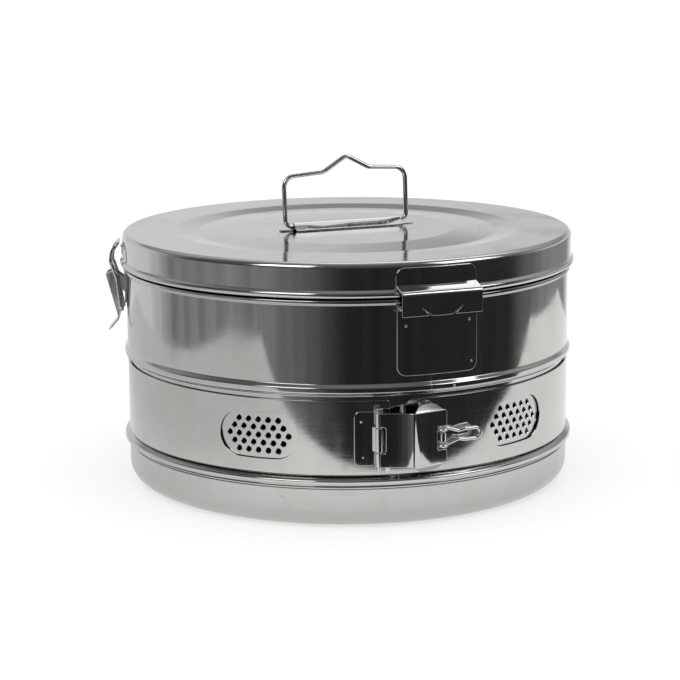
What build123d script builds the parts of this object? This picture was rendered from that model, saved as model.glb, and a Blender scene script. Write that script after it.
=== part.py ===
from build123d import *
import math
import os

# Sterilization drum: a round stainless box with a hinged lid, a turning vent band
# with a clasp, two side latches and a wire lid handle.
# Millimetres, +Z up. The origin is the centre of the base. The lid hinge is at -Y.
# An azimuth is an angle about +Z from -Y towards +X, and a radius is from the drum's axis.

# ---- clearances ----------------------------------------------------------------------
RUNNING_FIT = 0.06
FIXED_FIT = 0.03
SEAT_GAP = 0.1
SIDE_GAP = 0.3
PAN_GAP = 0.2
RIM_GAP = 0.4
LID_CLEARANCE = 2.0

# ---- sheet and drum wall: the wall above the groove, and its steps inwards -------------
SHEET = 0.8
DRUM_RADIUS = 145.0
GROOVE_STEP = 1.6
FOOT_STEP = 1.0
NECK_STEP = 1.0

# swaged beads of the wall: reach beyond the drum's wall, half height, and half height of
# the small step that the wall makes inside the bead
LOWER_BEAD = (2.9, 3.45, 2.5)
MIDDLE_BEAD = (1.8, 3.7, 2.0)
SEAT_BEAD = (1.6, 2.1, 1.0)
# heights from the pan's top to the lower bead, on to the middle and seat beads, and on to
# the top of the neck, and how far the foot ends above the pan's corner
LOWER_BEAD_RISE = 4.6
GROOVE_HEIGHT = 56.6
UPPER_WALL_HEIGHT = 53.7
NECK_HEIGHT = 15.3
FOOT_MARGIN = 1.0

# ---- base pan ------------------------------------------------------------------------
PAN_TOP = 24.8
PAN_CORNER = 12.0

# ---- vents, set a little below the band's middle ---------------------------------------
VENT_DROP = 0.25
VENT_ROWS = (5, 6, 7, 6, 5)
VENT_HOLE = 3.3
VENT_PITCH = 6.5
VENT_ROW_STEP = 4.75
VENT_COUNT = 5
VENT_STEP = 72.9
VENT_FIRST = 24.1

# ---- vent band: it clears the beads above and below it by its two margins ---------------
BAND_SHEET = 0.8
BAND_STANDOFF = 0.7
BAND_LOWER_MARGIN = 0.85
BAND_UPPER_MARGIN = 2.7
BAND_GAP_START = -12.0
BAND_GAP_END = -5.0
WINDOW_WIDTH = 52.0
WINDOW_HEIGHT = 28.4
WINDOW_CUT = 8.0

# ---- lid: skirt, rolled rim, and a flat top with a shallow pressed ring -----------------
SKIRT_HEIGHT = 20.5
SKIRT_FOOT = 1.3
LID_SHOULDER = 3.5
RIM_REACH = 1.9
RIM_HALF_HEIGHT = 2.1
# the disc inside the ring lies below the skirt's upper edge, the ring's bottom below the
# disc, and the flat outside the ring below that edge
DISC_RADIUS = 70.0
DISC_DROP = 0.4
DISC_BEND = 60.0
RING_INNER_SLOPE = 28.0
RING_DEPTH = 1.5
RING_BEND = 20.0
RING_OUTER_SLOPE = 14.0
FLAT_DROP = 0.2
FLAT_BEND = 30.0

# ---- handle --------------------------------------------------------------------------
HANDLE_WIRE = 3.0
# the shoulder's rise above the handle's axis, and the rises of the neck and the peak above
# the shoulder; the peak is that of the line before it is rounded
SHOULDER_RISE = 34.0
NECK_RISE = 1.8
PEAK_RISE = 13.0
NECK_HALF_WIDTH = 15.5
HANDLE_TAIL = 12.0
TAIL_BEND = 4.5
TAIL_MARGIN = 0.6
SHOULDER_BEND = 7.5
NECK_BEND = 12.0
PEAK_BEND = 14.0
STRAP_HALF_LENGTH = 37.5
STRAP_TAB_REACH = 4.4
STRAP_HALF_WIDTH = 8.0
STRAP_SHEET = 0.9

# ---- lid hinge: the pin stands off the lid's skirt and lies below the seat bead ---------
HINGE_STANDOFF = 4.2
HINGE_DROP = 4.4
HINGE_HALF_WIDTH = 26.2
HINGE_LEAF_SHEET = 1.2
HOOD_SHEET = 1.0
LEAF_CORNER = 5.5
HINGE_KNUCKLE = 2.7
KNUCKLE_WEB_BITE = 2.1
KNUCKLE_INSET = 1.7
HINGE_PIN = 1.5
PIN_HEAD_EDGE = 0.6
PIN_HEAD_HEIGHT = 0.7
CENTRE_KNUCKLE_HALF = 9.6
LOWER_LEAF_MARGIN = 4.3
HOOD_LENGTH = 3.5
HOOD_ROOT_DEPTH = 4.0
HOOD_ROOT_RISE = 0.3
HOOD_EDGE_FALL = 0.9
HOOD_BEND = 3.0
HOOD_NICK = 2.2

# ---- band clasp, centred on the vents --------------------------------------------------
CLASP_SHEET = 1.0
CLASP_HALF_HEIGHT = 16.7
CLASP_LEAF_START = -20.6
CLASP_LEAF_END = -15.8
CLASP_LEAF_CORNER = 3.5
CLASP_PIN_AZIMUTH = -14.85
CLASP_STANDOFF = 4.7
CLASP_PIN = 1.2
CLASP_PIN_TAIL = 3.6
CLASP_PIN_HEAD = 3.6
CLASP_PIN_HEAD_HEIGHT = 2.8
CLASP_KNUCKLE = 2.2
CLASP_KNUCKLE_ROOM = 1.3
CLASP_KNUCKLE_HALF_HEIGHT = 7.5
WEB_SPAN = 1.6
# the cover's ridge and free edge: azimuths, and rises beyond the clasp pin's radius
CLASP_APEX_AZIMUTH = -7.35
CLASP_APEX_RISE = 7.0
CLASP_EDGE_AZIMUTH = 1.25
CLASP_EDGE_RISE = 1.8
CLASP_NOTCH_AZIMUTH = -1.5
CLASP_NOTCH_SPAN = 6.0
CLASP_NOTCH_DEPTH = 12.0
CLASP_NOTCH_MARGIN = 1.4
# bowed flanges on the cover's outer face: sheet, reach, lean and where they start and end
FLANGE_SHEET = 0.9
FLANGE_REACH = 5.8
FLANGE_LEAN = 42.0
FLANGE_START = 1.0
FLANGE_END_MARGIN = 2.5

# ---- wire catch ----------------------------------------------------------------------
CATCH_DROP = 0.1
CATCH_LEAF_START = -4.7
CATCH_PIN_AZIMUTH = 0.3
CATCH_STANDOFF = 5.5
CATCH_PIN = 1.0
CATCH_KNUCKLE = 2.1
CATCH_HALF_HEIGHT = 2.7
CATCH_WIRE = 2.2
CATCH_EYE_RISE = 5.0
CATCH_SHOULDER = 4.0
CATCH_WAIST = (11.5, 1.5)
CATCH_BENDS = (2.0, 2.4, 2.4)
CATCH_LOOP_START = 15.5
CATCH_LOOP_RISE = 3.3
CATCH_LENGTH = 26.0

# ---- side latches: a pair of numbers is a way outwards and a way up ---------------------
LATCH_AZIMUTHS = {"left": -110.0, "right": 110.0}
LATCH_SHEET = 1.0
LATCH_STANDOFF = 8.9
LATCH_DROP = 5.2
LATCH_PIN = 1.2
LATCH_BOSS = 2.6
BAIL_BOSS = 2.1
BAIL_WIRE = 2.4
BRACKET_MARGIN = 1.4
BRACKET_SIDE = 1.2
EAR_INSIDE = 5.4
# the ear's foot on its plate starts and ends this far below the pivot, and its edges
# meet the boss at this distance out and down from the pivot
EAR_FOOT = (12.0, 3.0)
EAR_SHOULDER = (1.4, 2.2)
# from the latch pivot to the hook's pivot, the lever's top and the bends of the hook's legs
BAIL_PIVOT_OFFSET = (-5.3, -22.5)
LEVER_TOP_OFFSET = (4.3, 0.7)
BAIL_LEG_OFFSETS = ((-3.3, -2.5), (2.1, 9.0), (0.7, 15.5))
# from the hook's pivot to the lever's foot, the root of its lip and its tip
LEVER_FOOT_OFFSET = (2.6, -3.4)
LIP_ROOT_OFFSET = (2.0, -6.6)
LEVER_TIP_OFFSET = (8.8, -14.2)
LEVER_BENDS = (6.0, 3.0)
BAIL_BENDS = (1.6, 14.0, 5.0, 4.0, 2.2)
BAIL_END = 1.0
CATCH_LIP_REACH = 1.5
CATCH_LIP_ROUND = 0.7
CATCH_LIP_MARGIN = 1.0
CATCH_LIP_HEIGHT = 6.4
CATCH_PLATE_HALF = 7.5

# ---- places that follow from the sizes -------------------------------------------------
groove_radius = DRUM_RADIUS - GROOVE_STEP
foot_radius = DRUM_RADIUS - FOOT_STEP
neck_radius = DRUM_RADIUS - NECK_STEP
lower_bead_height = PAN_TOP + LOWER_BEAD_RISE
middle_bead_height = lower_bead_height + GROOVE_HEIGHT
seat_bead_height = middle_bead_height + UPPER_WALL_HEIGHT
neck_top = seat_bead_height + NECK_HEIGHT
seat_top = seat_bead_height + SEAT_BEAD[1]
seat_bottom = seat_bead_height - SEAT_BEAD[1]

band_inner = groove_radius + BAND_STANDOFF
band_outer = band_inner + BAND_SHEET
band_bottom = lower_bead_height + LOWER_BEAD[1] + BAND_LOWER_MARGIN
band_top = middle_bead_height - MIDDLE_BEAD[1] - BAND_UPPER_MARGIN
vent_height = (band_bottom + band_top) / 2 - VENT_DROP

lid_radius = neck_radius + LID_CLEARANCE + SHEET
rim_height = seat_top + RIM_GAP + RIM_HALF_HEIGHT
rim_top = rim_height + RIM_HALF_HEIGHT
lid_bottom = rim_height - SKIRT_FOOT
lid_edge = lid_bottom + SKIRT_HEIGHT
disc_height = lid_edge - DISC_DROP
ring_radius = DISC_RADIUS + RING_INNER_SLOPE
flat_radius = ring_radius + RING_OUTER_SLOPE


def spot(radius, azimuth):
    """Plan position of a point given by its radius and azimuth."""
    turn = math.radians(azimuth)
    return (radius * math.sin(turn), -radius * math.cos(turn))


def radial_plane(azimuth):
    """Upright plane through the drum's axis: its x runs outwards and its y up."""
    turn = math.radians(azimuth)
    return Plane(
        origin=(0, 0, 0),
        x_dir=(math.sin(turn), -math.cos(turn), 0),
        z_dir=(-math.cos(turn), -math.sin(turn), 0),
    )


def outward_place(azimuth, radius, height):
    """Location on the wall: its z points outwards and its y up."""
    turn = math.radians(azimuth)
    x, y = spot(radius, azimuth)
    return Location(
        Plane(
            origin=(x, y, height),
            x_dir=(math.cos(turn), math.sin(turn), 0),
            z_dir=(math.sin(turn), -math.cos(turn), 0),
        )
    )


def turn_along(length, radius):
    """Turn, in degrees, that a length takes at a radius."""
    return math.degrees(length / radius)


def finish(part, name):
    """Names a finished piece and writes it."""
    part.label = name
    export_step(part, f"parts/{name}.step")


def swaged_bead(wall_radius, height, bead):
    """Adds a rolled-out bead to a wall profile and hollows it from inside."""
    beyond_wall, half_height, _ = bead
    reach = DRUM_RADIUS + beyond_wall - wall_radius
    with Locations((wall_radius, height)):
        Ellipse(reach, half_height)
        Ellipse(reach - SHEET, half_height - SHEET, mode=Mode.SUBTRACT)
    with Locations((wall_radius - reach / 2, height)):
        Rectangle(reach, 2 * (half_height - SHEET), mode=Mode.SUBTRACT)


def vent_places(radius):
    """Places of all vent holes on a wall of the given radius."""
    places = []
    for field in range(VENT_COUNT):
        centre = VENT_FIRST + field * VENT_STEP
        for row, count in enumerate(VENT_ROWS):
            height = vent_height + ((len(VENT_ROWS) - 1) / 2 - row) * VENT_ROW_STEP
            for column in range(count):
                along = (column - (count - 1) / 2) * VENT_PITCH
                azimuth = centre + turn_along(along, radius)
                places.append(outward_place(azimuth, radius, height))
    return places


os.makedirs("parts", exist_ok=True)

# ---- drum shell ----------------------------------------------------------------------
wall_line = [(foot_radius, PAN_CORNER + FOOT_MARGIN)]
for height, bead, below, above in (
    (lower_bead_height, LOWER_BEAD, foot_radius, groove_radius),
    (middle_bead_height, MIDDLE_BEAD, groove_radius, DRUM_RADIUS),
    (seat_bead_height, SEAT_BEAD, DRUM_RADIUS, neck_radius),
):
    step_half = bead[2]
    wall_line += [(below, height - step_half), (above, height + step_half)]
wall_line.append((neck_radius, neck_top))
inner_line = [(radius - SHEET, height) for radius, height in wall_line]
with BuildPart() as drum_shell:
    with BuildSketch(Plane.XZ):
        with BuildLine():
            Polyline(*wall_line, *reversed(inner_line), close=True)
        make_face()
        swaged_bead(foot_radius - SHEET / 2, lower_bead_height, LOWER_BEAD)
        swaged_bead(DRUM_RADIUS - SHEET, middle_bead_height, MIDDLE_BEAD)
        swaged_bead(neck_radius, seat_bead_height, SEAT_BEAD)
    revolve(axis=Axis.Z)
    with Locations(*vent_places(groove_radius)):
        Cylinder(VENT_HOLE / 2, 6 * SHEET, mode=Mode.SUBTRACT)
finish(drum_shell.part, "drum_shell")

# ---- base pan ------------------------------------------------------------------------
pan_inner = foot_radius + PAN_GAP
pan_radius = pan_inner + SHEET
with BuildPart() as base_pan:
    with BuildSketch(Plane.XZ):
        with BuildLine():
            FilletPolyline(
                (0, 0), (pan_radius, 0), (pan_radius, PAN_TOP), radius=PAN_CORNER
            )
            Line((pan_radius, PAN_TOP), (pan_inner, PAN_TOP))
            FilletPolyline(
                (pan_inner, PAN_TOP), (pan_inner, SHEET), (0, SHEET),
                radius=PAN_CORNER - SHEET,
            )
            Line((0, SHEET), (0, 0))
        make_face()
    revolve(axis=Axis.Z)
finish(base_pan.part, "base_pan")

# ---- vent band: an open ring with one window for each vent field -----------------------
with BuildPart() as vent_band:
    with BuildSketch(radial_plane(BAND_GAP_END)):
        with Locations((band_inner + BAND_SHEET / 2, (band_bottom + band_top) / 2)):
            Rectangle(BAND_SHEET, band_top - band_bottom)
    revolve(axis=Axis.Z, revolution_arc=360 - (BAND_GAP_END - BAND_GAP_START))
    for field in range(VENT_COUNT):
        azimuth = VENT_FIRST + field * VENT_STEP
        window_place = outward_place(azimuth, band_inner - WINDOW_CUT / 2, vent_height)
        with BuildSketch(Plane(window_place)):
            SlotOverall(WINDOW_WIDTH, WINDOW_HEIGHT)
        extrude(amount=WINDOW_CUT, mode=Mode.SUBTRACT)
finish(vent_band.part, "vent_band")


# ---- lid shell -----------------------------------------------------------------------
def lid_line(inset):
    """Lid profile from the skirt's bottom to the centre, moved in by the sheet."""
    return [
        (lid_radius - inset, lid_bottom),
        (lid_radius - inset, lid_edge - inset),
        (flat_radius, lid_edge - FLAT_DROP - inset),
        (ring_radius, disc_height - RING_DEPTH - inset),
        (DISC_RADIUS, disc_height - inset),
        (0, disc_height - inset),
    ]


ring_bends = [FLAT_BEND, RING_BEND, DISC_BEND]
with BuildPart() as lid_shell:
    with BuildSketch(Plane.XZ):
        with BuildLine():
            lid_outside = FilletPolyline(*lid_line(0), radius=[LID_SHOULDER, *ring_bends])
            lid_inside = FilletPolyline(
                *lid_line(SHEET), radius=[LID_SHOULDER - SHEET, *ring_bends]
            )
            Line(lid_outside @ 0, lid_inside @ 0)
            Line(lid_outside @ 1, lid_inside @ 1)
        make_face()
        with Locations((lid_radius, rim_height)):
            Ellipse(RIM_REACH, RIM_HALF_HEIGHT)
        with Locations((lid_radius - SHEET - RIM_REACH / 2, rim_height)):
            Rectangle(RIM_REACH, 3 * RIM_HALF_HEIGHT, mode=Mode.SUBTRACT)
    revolve(axis=Axis.Z)
finish(lid_shell.part, "lid_shell")

# ---- handle strap: a saddle rolled over the handle's turned-in ends --------------------
handle_axis = disc_height + STRAP_SHEET + SIDE_GAP + HANDLE_WIRE / 2
tunnel = HANDLE_WIRE / 2 + 2 * RUNNING_FIT
handle_half_width = STRAP_HALF_LENGTH + TAIL_MARGIN + TAIL_BEND
tab_half_length = handle_half_width + STRAP_TAB_REACH
strap_bottom = disc_height + SEAT_GAP
with BuildPart() as handle_strap:
    with BuildSketch(Plane.YZ):
        with Locations((0, strap_bottom + STRAP_SHEET / 2)):
            Rectangle(2 * STRAP_HALF_WIDTH, STRAP_SHEET)
        with Locations((0, handle_axis)):
            Circle(tunnel + STRAP_SHEET)
        with Locations((0, (handle_axis + strap_bottom) / 2)):
            Rectangle(2 * (tunnel + STRAP_SHEET), handle_axis - strap_bottom)
        with Locations((0, handle_axis)):
            Circle(tunnel, mode=Mode.SUBTRACT)
        with Locations((0, (handle_axis + strap_bottom) / 2)):
            Rectangle(2 * tunnel, handle_axis - strap_bottom, mode=Mode.SUBTRACT)
    extrude(amount=STRAP_HALF_LENGTH, both=True)
    with BuildSketch(Plane.XY.offset(strap_bottom)):
        for side in (-1, 1):
            reach = tab_half_length - STRAP_HALF_LENGTH + STRAP_SHEET
            with Locations((side * (tab_half_length - reach / 2), 0)):
                Rectangle(reach, 2 * (tunnel + STRAP_SHEET))
    extrude(amount=STRAP_SHEET)
finish(handle_strap.part, "handle_strap")

# ---- handle bail ---------------------------------------------------------------------
shoulder_height = handle_axis + SHOULDER_RISE
handle_half = [
    (STRAP_HALF_LENGTH - HANDLE_TAIL, handle_axis),
    (handle_half_width, handle_axis),
    (handle_half_width, shoulder_height),
    (NECK_HALF_WIDTH, shoulder_height + NECK_RISE),
]
handle_points = [
    *handle_half,
    (0, shoulder_height + PEAK_RISE),
    *[(-x, z) for x, z in reversed(handle_half)],
]
half_bends = [TAIL_BEND, SHOULDER_BEND, NECK_BEND]
with BuildPart() as handle_bail:
    with BuildLine(Plane.XZ) as handle_path:
        FilletPolyline(*handle_points, radius=[*half_bends, PEAK_BEND, *reversed(half_bends)])
    with BuildSketch(Plane(origin=handle_path.line @ 0, z_dir=handle_path.line % 0)):
        Circle(HANDLE_WIRE / 2)
    sweep(path=handle_path.line)
finish(handle_bail.part, "handle_bail")


# ---- lid hinge -----------------------------------------------------------------------
hinge_radius = lid_radius + HINGE_STANDOFF
hinge_height = seat_bead_height - HINGE_DROP
hinge_spot = (-hinge_radius, hinge_height)
leaf_inner = DRUM_RADIUS + SEAT_GAP
leaf_outer = leaf_inner + HINGE_LEAF_SHEET
leaf_span = turn_along(2 * HINGE_HALF_WIDTH, leaf_outer)
lower_leaf_top = seat_bottom - 2 * SIDE_GAP
lower_leaf_bottom = middle_bead_height + MIDDLE_BEAD[1] + LOWER_LEAF_MARGIN
leaf_height = lower_leaf_top - lower_leaf_bottom
end_knuckle_start = CENTRE_KNUCKLE_HALF + SIDE_GAP
end_knuckle_end = HINGE_HALF_WIDTH - KNUCKLE_INSET
knuckle_length = end_knuckle_end - end_knuckle_start
knuckle_middle = (end_knuckle_end + end_knuckle_start) / 2
knuckle_web = hinge_radius - leaf_inner + KNUCKLE_WEB_BITE
pin_hole = HINGE_PIN + RUNNING_FIT


def corner_edges(leaf, thickness):
    """Short edges at the corners of a plain curved plate, lowest first."""
    short = leaf.edges().filter_by(lambda edge: edge.length < 1.01 * thickness)
    return short.sort_by(Axis.Z)


with BuildPart() as hinge_lower_leaf:
    with BuildSketch(radial_plane(-leaf_span / 2)):
        with Locations(((leaf_inner + leaf_outer) / 2, (lower_leaf_bottom + lower_leaf_top) / 2)):
            Rectangle(HINGE_LEAF_SHEET, leaf_height)
    revolve(axis=Axis.Z, revolution_arc=leaf_span)
    fillet(corner_edges(hinge_lower_leaf, HINGE_LEAF_SHEET)[:2], radius=LEAF_CORNER)
    for side in (-1, 1):
        with BuildSketch(Plane.YZ.offset(side * knuckle_middle)):
            with Locations(hinge_spot):
                Circle(HINGE_KNUCKLE)
            web_place = (knuckle_web / 2 - hinge_radius, (hinge_height + lower_leaf_top) / 2)
            with Locations(web_place):
                Rectangle(knuckle_web, lower_leaf_top - hinge_height)
            with Locations(hinge_spot):
                Circle(pin_hole, mode=Mode.SUBTRACT)
        extrude(amount=knuckle_length / 2, both=True)
    with Locations((0, 0, hinge_height)):
        Cylinder(leaf_inner, leaf_height, mode=Mode.SUBTRACT)
finish(hinge_lower_leaf.part, "hinge_lower_leaf")

# upper leaf: a curved plate on the lid's skirt and a straight hood over the pin
skirt_inner = lid_radius + SEAT_GAP
upper_span = turn_along(2 * HINGE_HALF_WIDTH, skirt_inner + HOOD_SHEET)
upper_leaf_bottom = rim_top + 2 * SIDE_GAP
upper_leaf_top = lid_edge - LID_SHOULDER
upper_leaf_height = upper_leaf_top - upper_leaf_bottom
hood_front = hinge_radius + HINGE_KNUCKLE + SIDE_GAP + HOOD_SHEET
hood_top = upper_leaf_bottom + HOOD_SHEET
hood_root = (HOOD_ROOT_DEPTH - lid_radius, hood_top + HOOD_ROOT_RISE)
hood_edge = (-hood_front, hood_top - HOOD_EDGE_FALL)
hood_foot = (-hood_front, hinge_height - HOOD_LENGTH)
tongue_height = hinge_height - HINGE_KNUCKLE
with BuildPart() as hinge_upper_leaf:
    with BuildSketch(radial_plane(-upper_span / 2)):
        with Locations((skirt_inner + HOOD_SHEET / 2, (upper_leaf_bottom + upper_leaf_top) / 2)):
            Rectangle(HOOD_SHEET, upper_leaf_height)
    revolve(axis=Axis.Z, revolution_arc=upper_span)
    fillet(corner_edges(hinge_upper_leaf, HOOD_SHEET)[2:], radius=LEAF_CORNER)
    with BuildSketch(Plane.YZ):
        with BuildLine():
            hood_outside = FilletPolyline(hood_root, hood_edge, hood_foot, radius=HOOD_BEND)
            hood_inside = FilletPolyline(
                (hood_root[0], hood_root[1] - HOOD_SHEET),
                (hood_edge[0] + HOOD_SHEET, hood_edge[1] - HOOD_SHEET),
                (hood_foot[0] + HOOD_SHEET, hood_foot[1]),
                radius=HOOD_BEND - HOOD_SHEET,
            )
            Line(hood_outside @ 0, hood_inside @ 0)
            Line(hood_outside @ 1, hood_inside @ 1)
        make_face()
    extrude(amount=HINGE_HALF_WIDTH, both=True)
    with BuildSketch(Plane.YZ):
        with Locations(hinge_spot):
            Circle(HINGE_KNUCKLE)
        with Locations((-hinge_radius - HINGE_KNUCKLE / 2, tongue_height + HOOD_SHEET / 2)):
            Rectangle(HINGE_KNUCKLE + HOOD_SHEET, HOOD_SHEET)
        with Locations(hinge_spot):
            Circle(pin_hole, mode=Mode.SUBTRACT)
    extrude(amount=CENTRE_KNUCKLE_HALF, both=True)
    with BuildSketch(Plane.XZ.offset(hood_front - 2 * HOOD_SHEET)):
        for side in (-1, 1):
            with Locations((side * (CENTRE_KNUCKLE_HALF + HOOD_NICK), hood_foot[1])):
                RegularPolygon(HOOD_NICK, 3, rotation=90)
    extrude(amount=3 * HOOD_SHEET, mode=Mode.SUBTRACT)
    with Locations((0, 0, rim_height)):
        Cylinder(skirt_inner, 3 * upper_leaf_height, mode=Mode.SUBTRACT)
finish(hinge_upper_leaf.part, "hinge_upper_leaf")

pin_half = end_knuckle_end + SEAT_GAP
with BuildPart() as hinge_pin:
    with BuildSketch(Plane.YZ):
        with Locations(hinge_spot):
            Circle(HINGE_PIN)
    extrude(amount=pin_half, both=True)
    for side in (-1, 1):
        with BuildSketch(Plane.YZ.offset(side * pin_half)):
            with Locations(hinge_spot):
                Circle(HINGE_PIN + PIN_HEAD_EDGE)
        extrude(amount=side * PIN_HEAD_HEIGHT)
finish(hinge_pin.part, "hinge_pin")

# ---- band clasp ----------------------------------------------------------------------
clasp_inner = band_outer + SEAT_GAP
clasp_outer = clasp_inner + CLASP_SHEET
clasp_bottom = vent_height - CLASP_HALF_HEIGHT
clasp_top = vent_height + CLASP_HALF_HEIGHT
clasp_knuckle_bottom = vent_height - CLASP_KNUCKLE_HALF_HEIGHT
clasp_knuckle_top = vent_height + CLASP_KNUCKLE_HALF_HEIGHT
clasp_pin_radius = band_outer + CLASP_STANDOFF
clasp_pin_spot = spot(clasp_pin_radius, CLASP_PIN_AZIMUTH)
clasp_hole = CLASP_PIN + RUNNING_FIT


def web_corners(leaf_end, pin_radius, pin_azimuth, knuckle):
    """Corners of the web that joins a leaf's end to the knuckle standing off it."""
    return [
        spot(clasp_inner, leaf_end - WEB_SPAN),
        spot(pin_radius + knuckle / 2, pin_azimuth),
        spot(pin_radius - knuckle / 2, pin_azimuth),
        spot(clasp_inner, leaf_end),
    ]


with BuildPart() as clasp_band_leaf:
    with BuildSketch(radial_plane(CLASP_LEAF_START)):
        with Locations(((clasp_inner + clasp_outer) / 2, vent_height)):
            Rectangle(CLASP_SHEET, clasp_top - clasp_bottom)
    revolve(axis=Axis.Z, revolution_arc=CLASP_LEAF_END - CLASP_LEAF_START)
    free_corners = corner_edges(clasp_band_leaf, CLASP_SHEET).sort_by(Axis.X)[:2]
    fillet(free_corners, radius=CLASP_LEAF_CORNER)
    clasp_web = web_corners(CLASP_LEAF_END, clasp_pin_radius, CLASP_PIN_AZIMUTH, CLASP_KNUCKLE)
    with BuildSketch(Plane.XY.offset(clasp_knuckle_bottom)):
        with BuildLine():
            Polyline(*clasp_web, close=True)
        make_face()
        with Locations(clasp_pin_spot):
            Circle(CLASP_KNUCKLE)
            Circle(clasp_hole, mode=Mode.SUBTRACT)
    extrude(amount=clasp_knuckle_top - clasp_knuckle_bottom)
    with Locations((0, 0, vent_height)):
        Cylinder(clasp_inner, clasp_top, mode=Mode.SUBTRACT)
finish(clasp_band_leaf.part, "clasp_band_leaf")

clasp_pin_bottom = clasp_bottom - CLASP_PIN_TAIL
clasp_head_bottom = clasp_top + SEAT_GAP
with BuildPart() as clasp_pin:
    with BuildSketch(Plane.XY.offset(clasp_pin_bottom)):
        with Locations(clasp_pin_spot):
            Circle(CLASP_PIN)
    extrude(amount=clasp_head_bottom - clasp_pin_bottom)
    with BuildSketch(Plane.XY.offset(clasp_head_bottom)):
        with Locations(clasp_pin_spot):
            Rectangle(CLASP_PIN_HEAD, CLASP_PIN_HEAD)
    extrude(amount=CLASP_PIN_HEAD_HEIGHT)
finish(clasp_pin.part, "clasp_pin")


def mitred(points, thickness):
    """The line moved to its left by the sheet's thickness, corners mitred."""
    moved = []
    for index, point in enumerate(points):
        here = Vector(*point)
        ways = []
        if index > 0:
            ways.append((here - Vector(*points[index - 1])).normalized())
        if index < len(points) - 1:
            ways.append((Vector(*points[index + 1]) - here).normalized())
        lefts = [Vector(-way.Y, way.X) for way in ways]
        left = (lefts[0] + lefts[-1]).normalized()
        moved.append(here + left * (thickness / left.dot(lefts[0])))
    return moved


clasp_line = [
    spot(clasp_pin_radius + CLASP_KNUCKLE, CLASP_PIN_AZIMUTH),
    spot(clasp_pin_radius + CLASP_APEX_RISE, CLASP_APEX_AZIMUTH),
    spot(clasp_pin_radius + CLASP_EDGE_RISE, CLASP_EDGE_AZIMUTH),
]
catch_middle = vent_height - CATCH_DROP
catch_pin_half = CATCH_EYE_RISE + CATCH_WIRE / 2 + 2 * SIDE_GAP
catch_leaf_height = 2 * (catch_pin_half + CLASP_NOTCH_MARGIN)
clasp_leg = Vector(*clasp_line[2]) - Vector(*clasp_line[1])
leg_way = clasp_leg.normalized()
inward = Vector(-leg_way.Y, leg_way.X)
lean = math.radians(FLANGE_LEAN)
flange_end = clasp_leg.length - FLANGE_END_MARGIN
flange_root = -CLASP_SHEET / 2
with BuildPart() as clasp_cover:
    with BuildSketch(Plane.XY.offset(clasp_bottom)):
        with BuildLine():
            Polyline(*clasp_line, *reversed(mitred(clasp_line, CLASP_SHEET)), close=True)
        make_face()
        with Locations(clasp_pin_spot):
            Circle(CLASP_KNUCKLE)
    extrude(amount=clasp_top - clasp_bottom)
    for height, rise in ((clasp_top, 1), (clasp_bottom, -1)):
        flange_way = inward * math.sin(lean) + Vector(0, 0, rise * math.cos(lean))
        start = Vector(*clasp_line[1]) + inward * (CLASP_SHEET / 2) + Vector(0, 0, height)
        flange_plane = Plane(origin=start, x_dir=leg_way, z_dir=leg_way.cross(flange_way))
        with BuildSketch(flange_plane):
            with BuildLine():
                ThreePointArc(
                    (FLANGE_START, 0),
                    ((FLANGE_START + flange_end) / 2, FLANGE_REACH),
                    (flange_end, 0),
                )
                Polyline(
                    (flange_end, 0),
                    (flange_end, flange_root),
                    (FLANGE_START, flange_root),
                    (FLANGE_START, 0),
                )
            make_face()
        extrude(amount=FLANGE_SHEET / 2, both=True)
    with BuildSketch(Plane.XY.offset(clasp_knuckle_bottom - SIDE_GAP)):
        with Locations(clasp_pin_spot):
            Circle(CLASP_KNUCKLE + CLASP_KNUCKLE_ROOM)
    extrude(amount=clasp_knuckle_top - clasp_knuckle_bottom + 2 * SIDE_GAP, mode=Mode.SUBTRACT)
    with BuildSketch(Plane.XY.offset(clasp_bottom)):
        with Locations(clasp_pin_spot):
            Circle(clasp_hole)
    extrude(amount=clasp_top - clasp_bottom, mode=Mode.SUBTRACT)
    with BuildSketch(radial_plane(CLASP_NOTCH_AZIMUTH)):
        with Locations((clasp_pin_radius + CLASP_EDGE_RISE, catch_middle)):
            Rectangle(CLASP_NOTCH_DEPTH, catch_leaf_height)
    revolve(axis=Axis.Z, revolution_arc=CLASP_NOTCH_SPAN, mode=Mode.SUBTRACT)
finish(clasp_cover.part, "clasp_cover")

# ---- catch on the band's free end --------------------------------------------------------
catch_pin_radius = band_outer + CATCH_STANDOFF
catch_spot = spot(catch_pin_radius, CATCH_PIN_AZIMUTH)
catch_web = web_corners(CATCH_PIN_AZIMUTH, catch_pin_radius, CATCH_PIN_AZIMUTH, CATCH_KNUCKLE)
with BuildPart() as catch_bracket:
    with BuildSketch(radial_plane(CATCH_LEAF_START)):
        with Locations(((clasp_inner + clasp_outer) / 2, catch_middle)):
            Rectangle(CLASP_SHEET, catch_leaf_height)
    revolve(axis=Axis.Z, revolution_arc=CATCH_PIN_AZIMUTH - CATCH_LEAF_START)
    with BuildSketch(Plane.XY.offset(catch_middle - CATCH_HALF_HEIGHT)):
        with BuildLine():
            Polyline(*catch_web, close=True)
        make_face()
        with Locations(catch_spot):
            Circle(CATCH_KNUCKLE)
            Circle(CATCH_PIN + FIXED_FIT, mode=Mode.SUBTRACT)
    extrude(amount=2 * CATCH_HALF_HEIGHT)
    with Locations((0, 0, catch_middle)):
        Cylinder(clasp_inner, 2 * catch_leaf_height, mode=Mode.SUBTRACT)
finish(catch_bracket.part, "catch_bracket")

eye_radius = CATCH_PIN + 2 * RUNNING_FIT + CATCH_WIRE / 2
with BuildPart() as catch_pin:
    with Locations((*catch_spot, catch_middle)):
        Cylinder(CATCH_PIN, 2 * catch_pin_half)
finish(catch_pin.part, "catch_pin")

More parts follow.
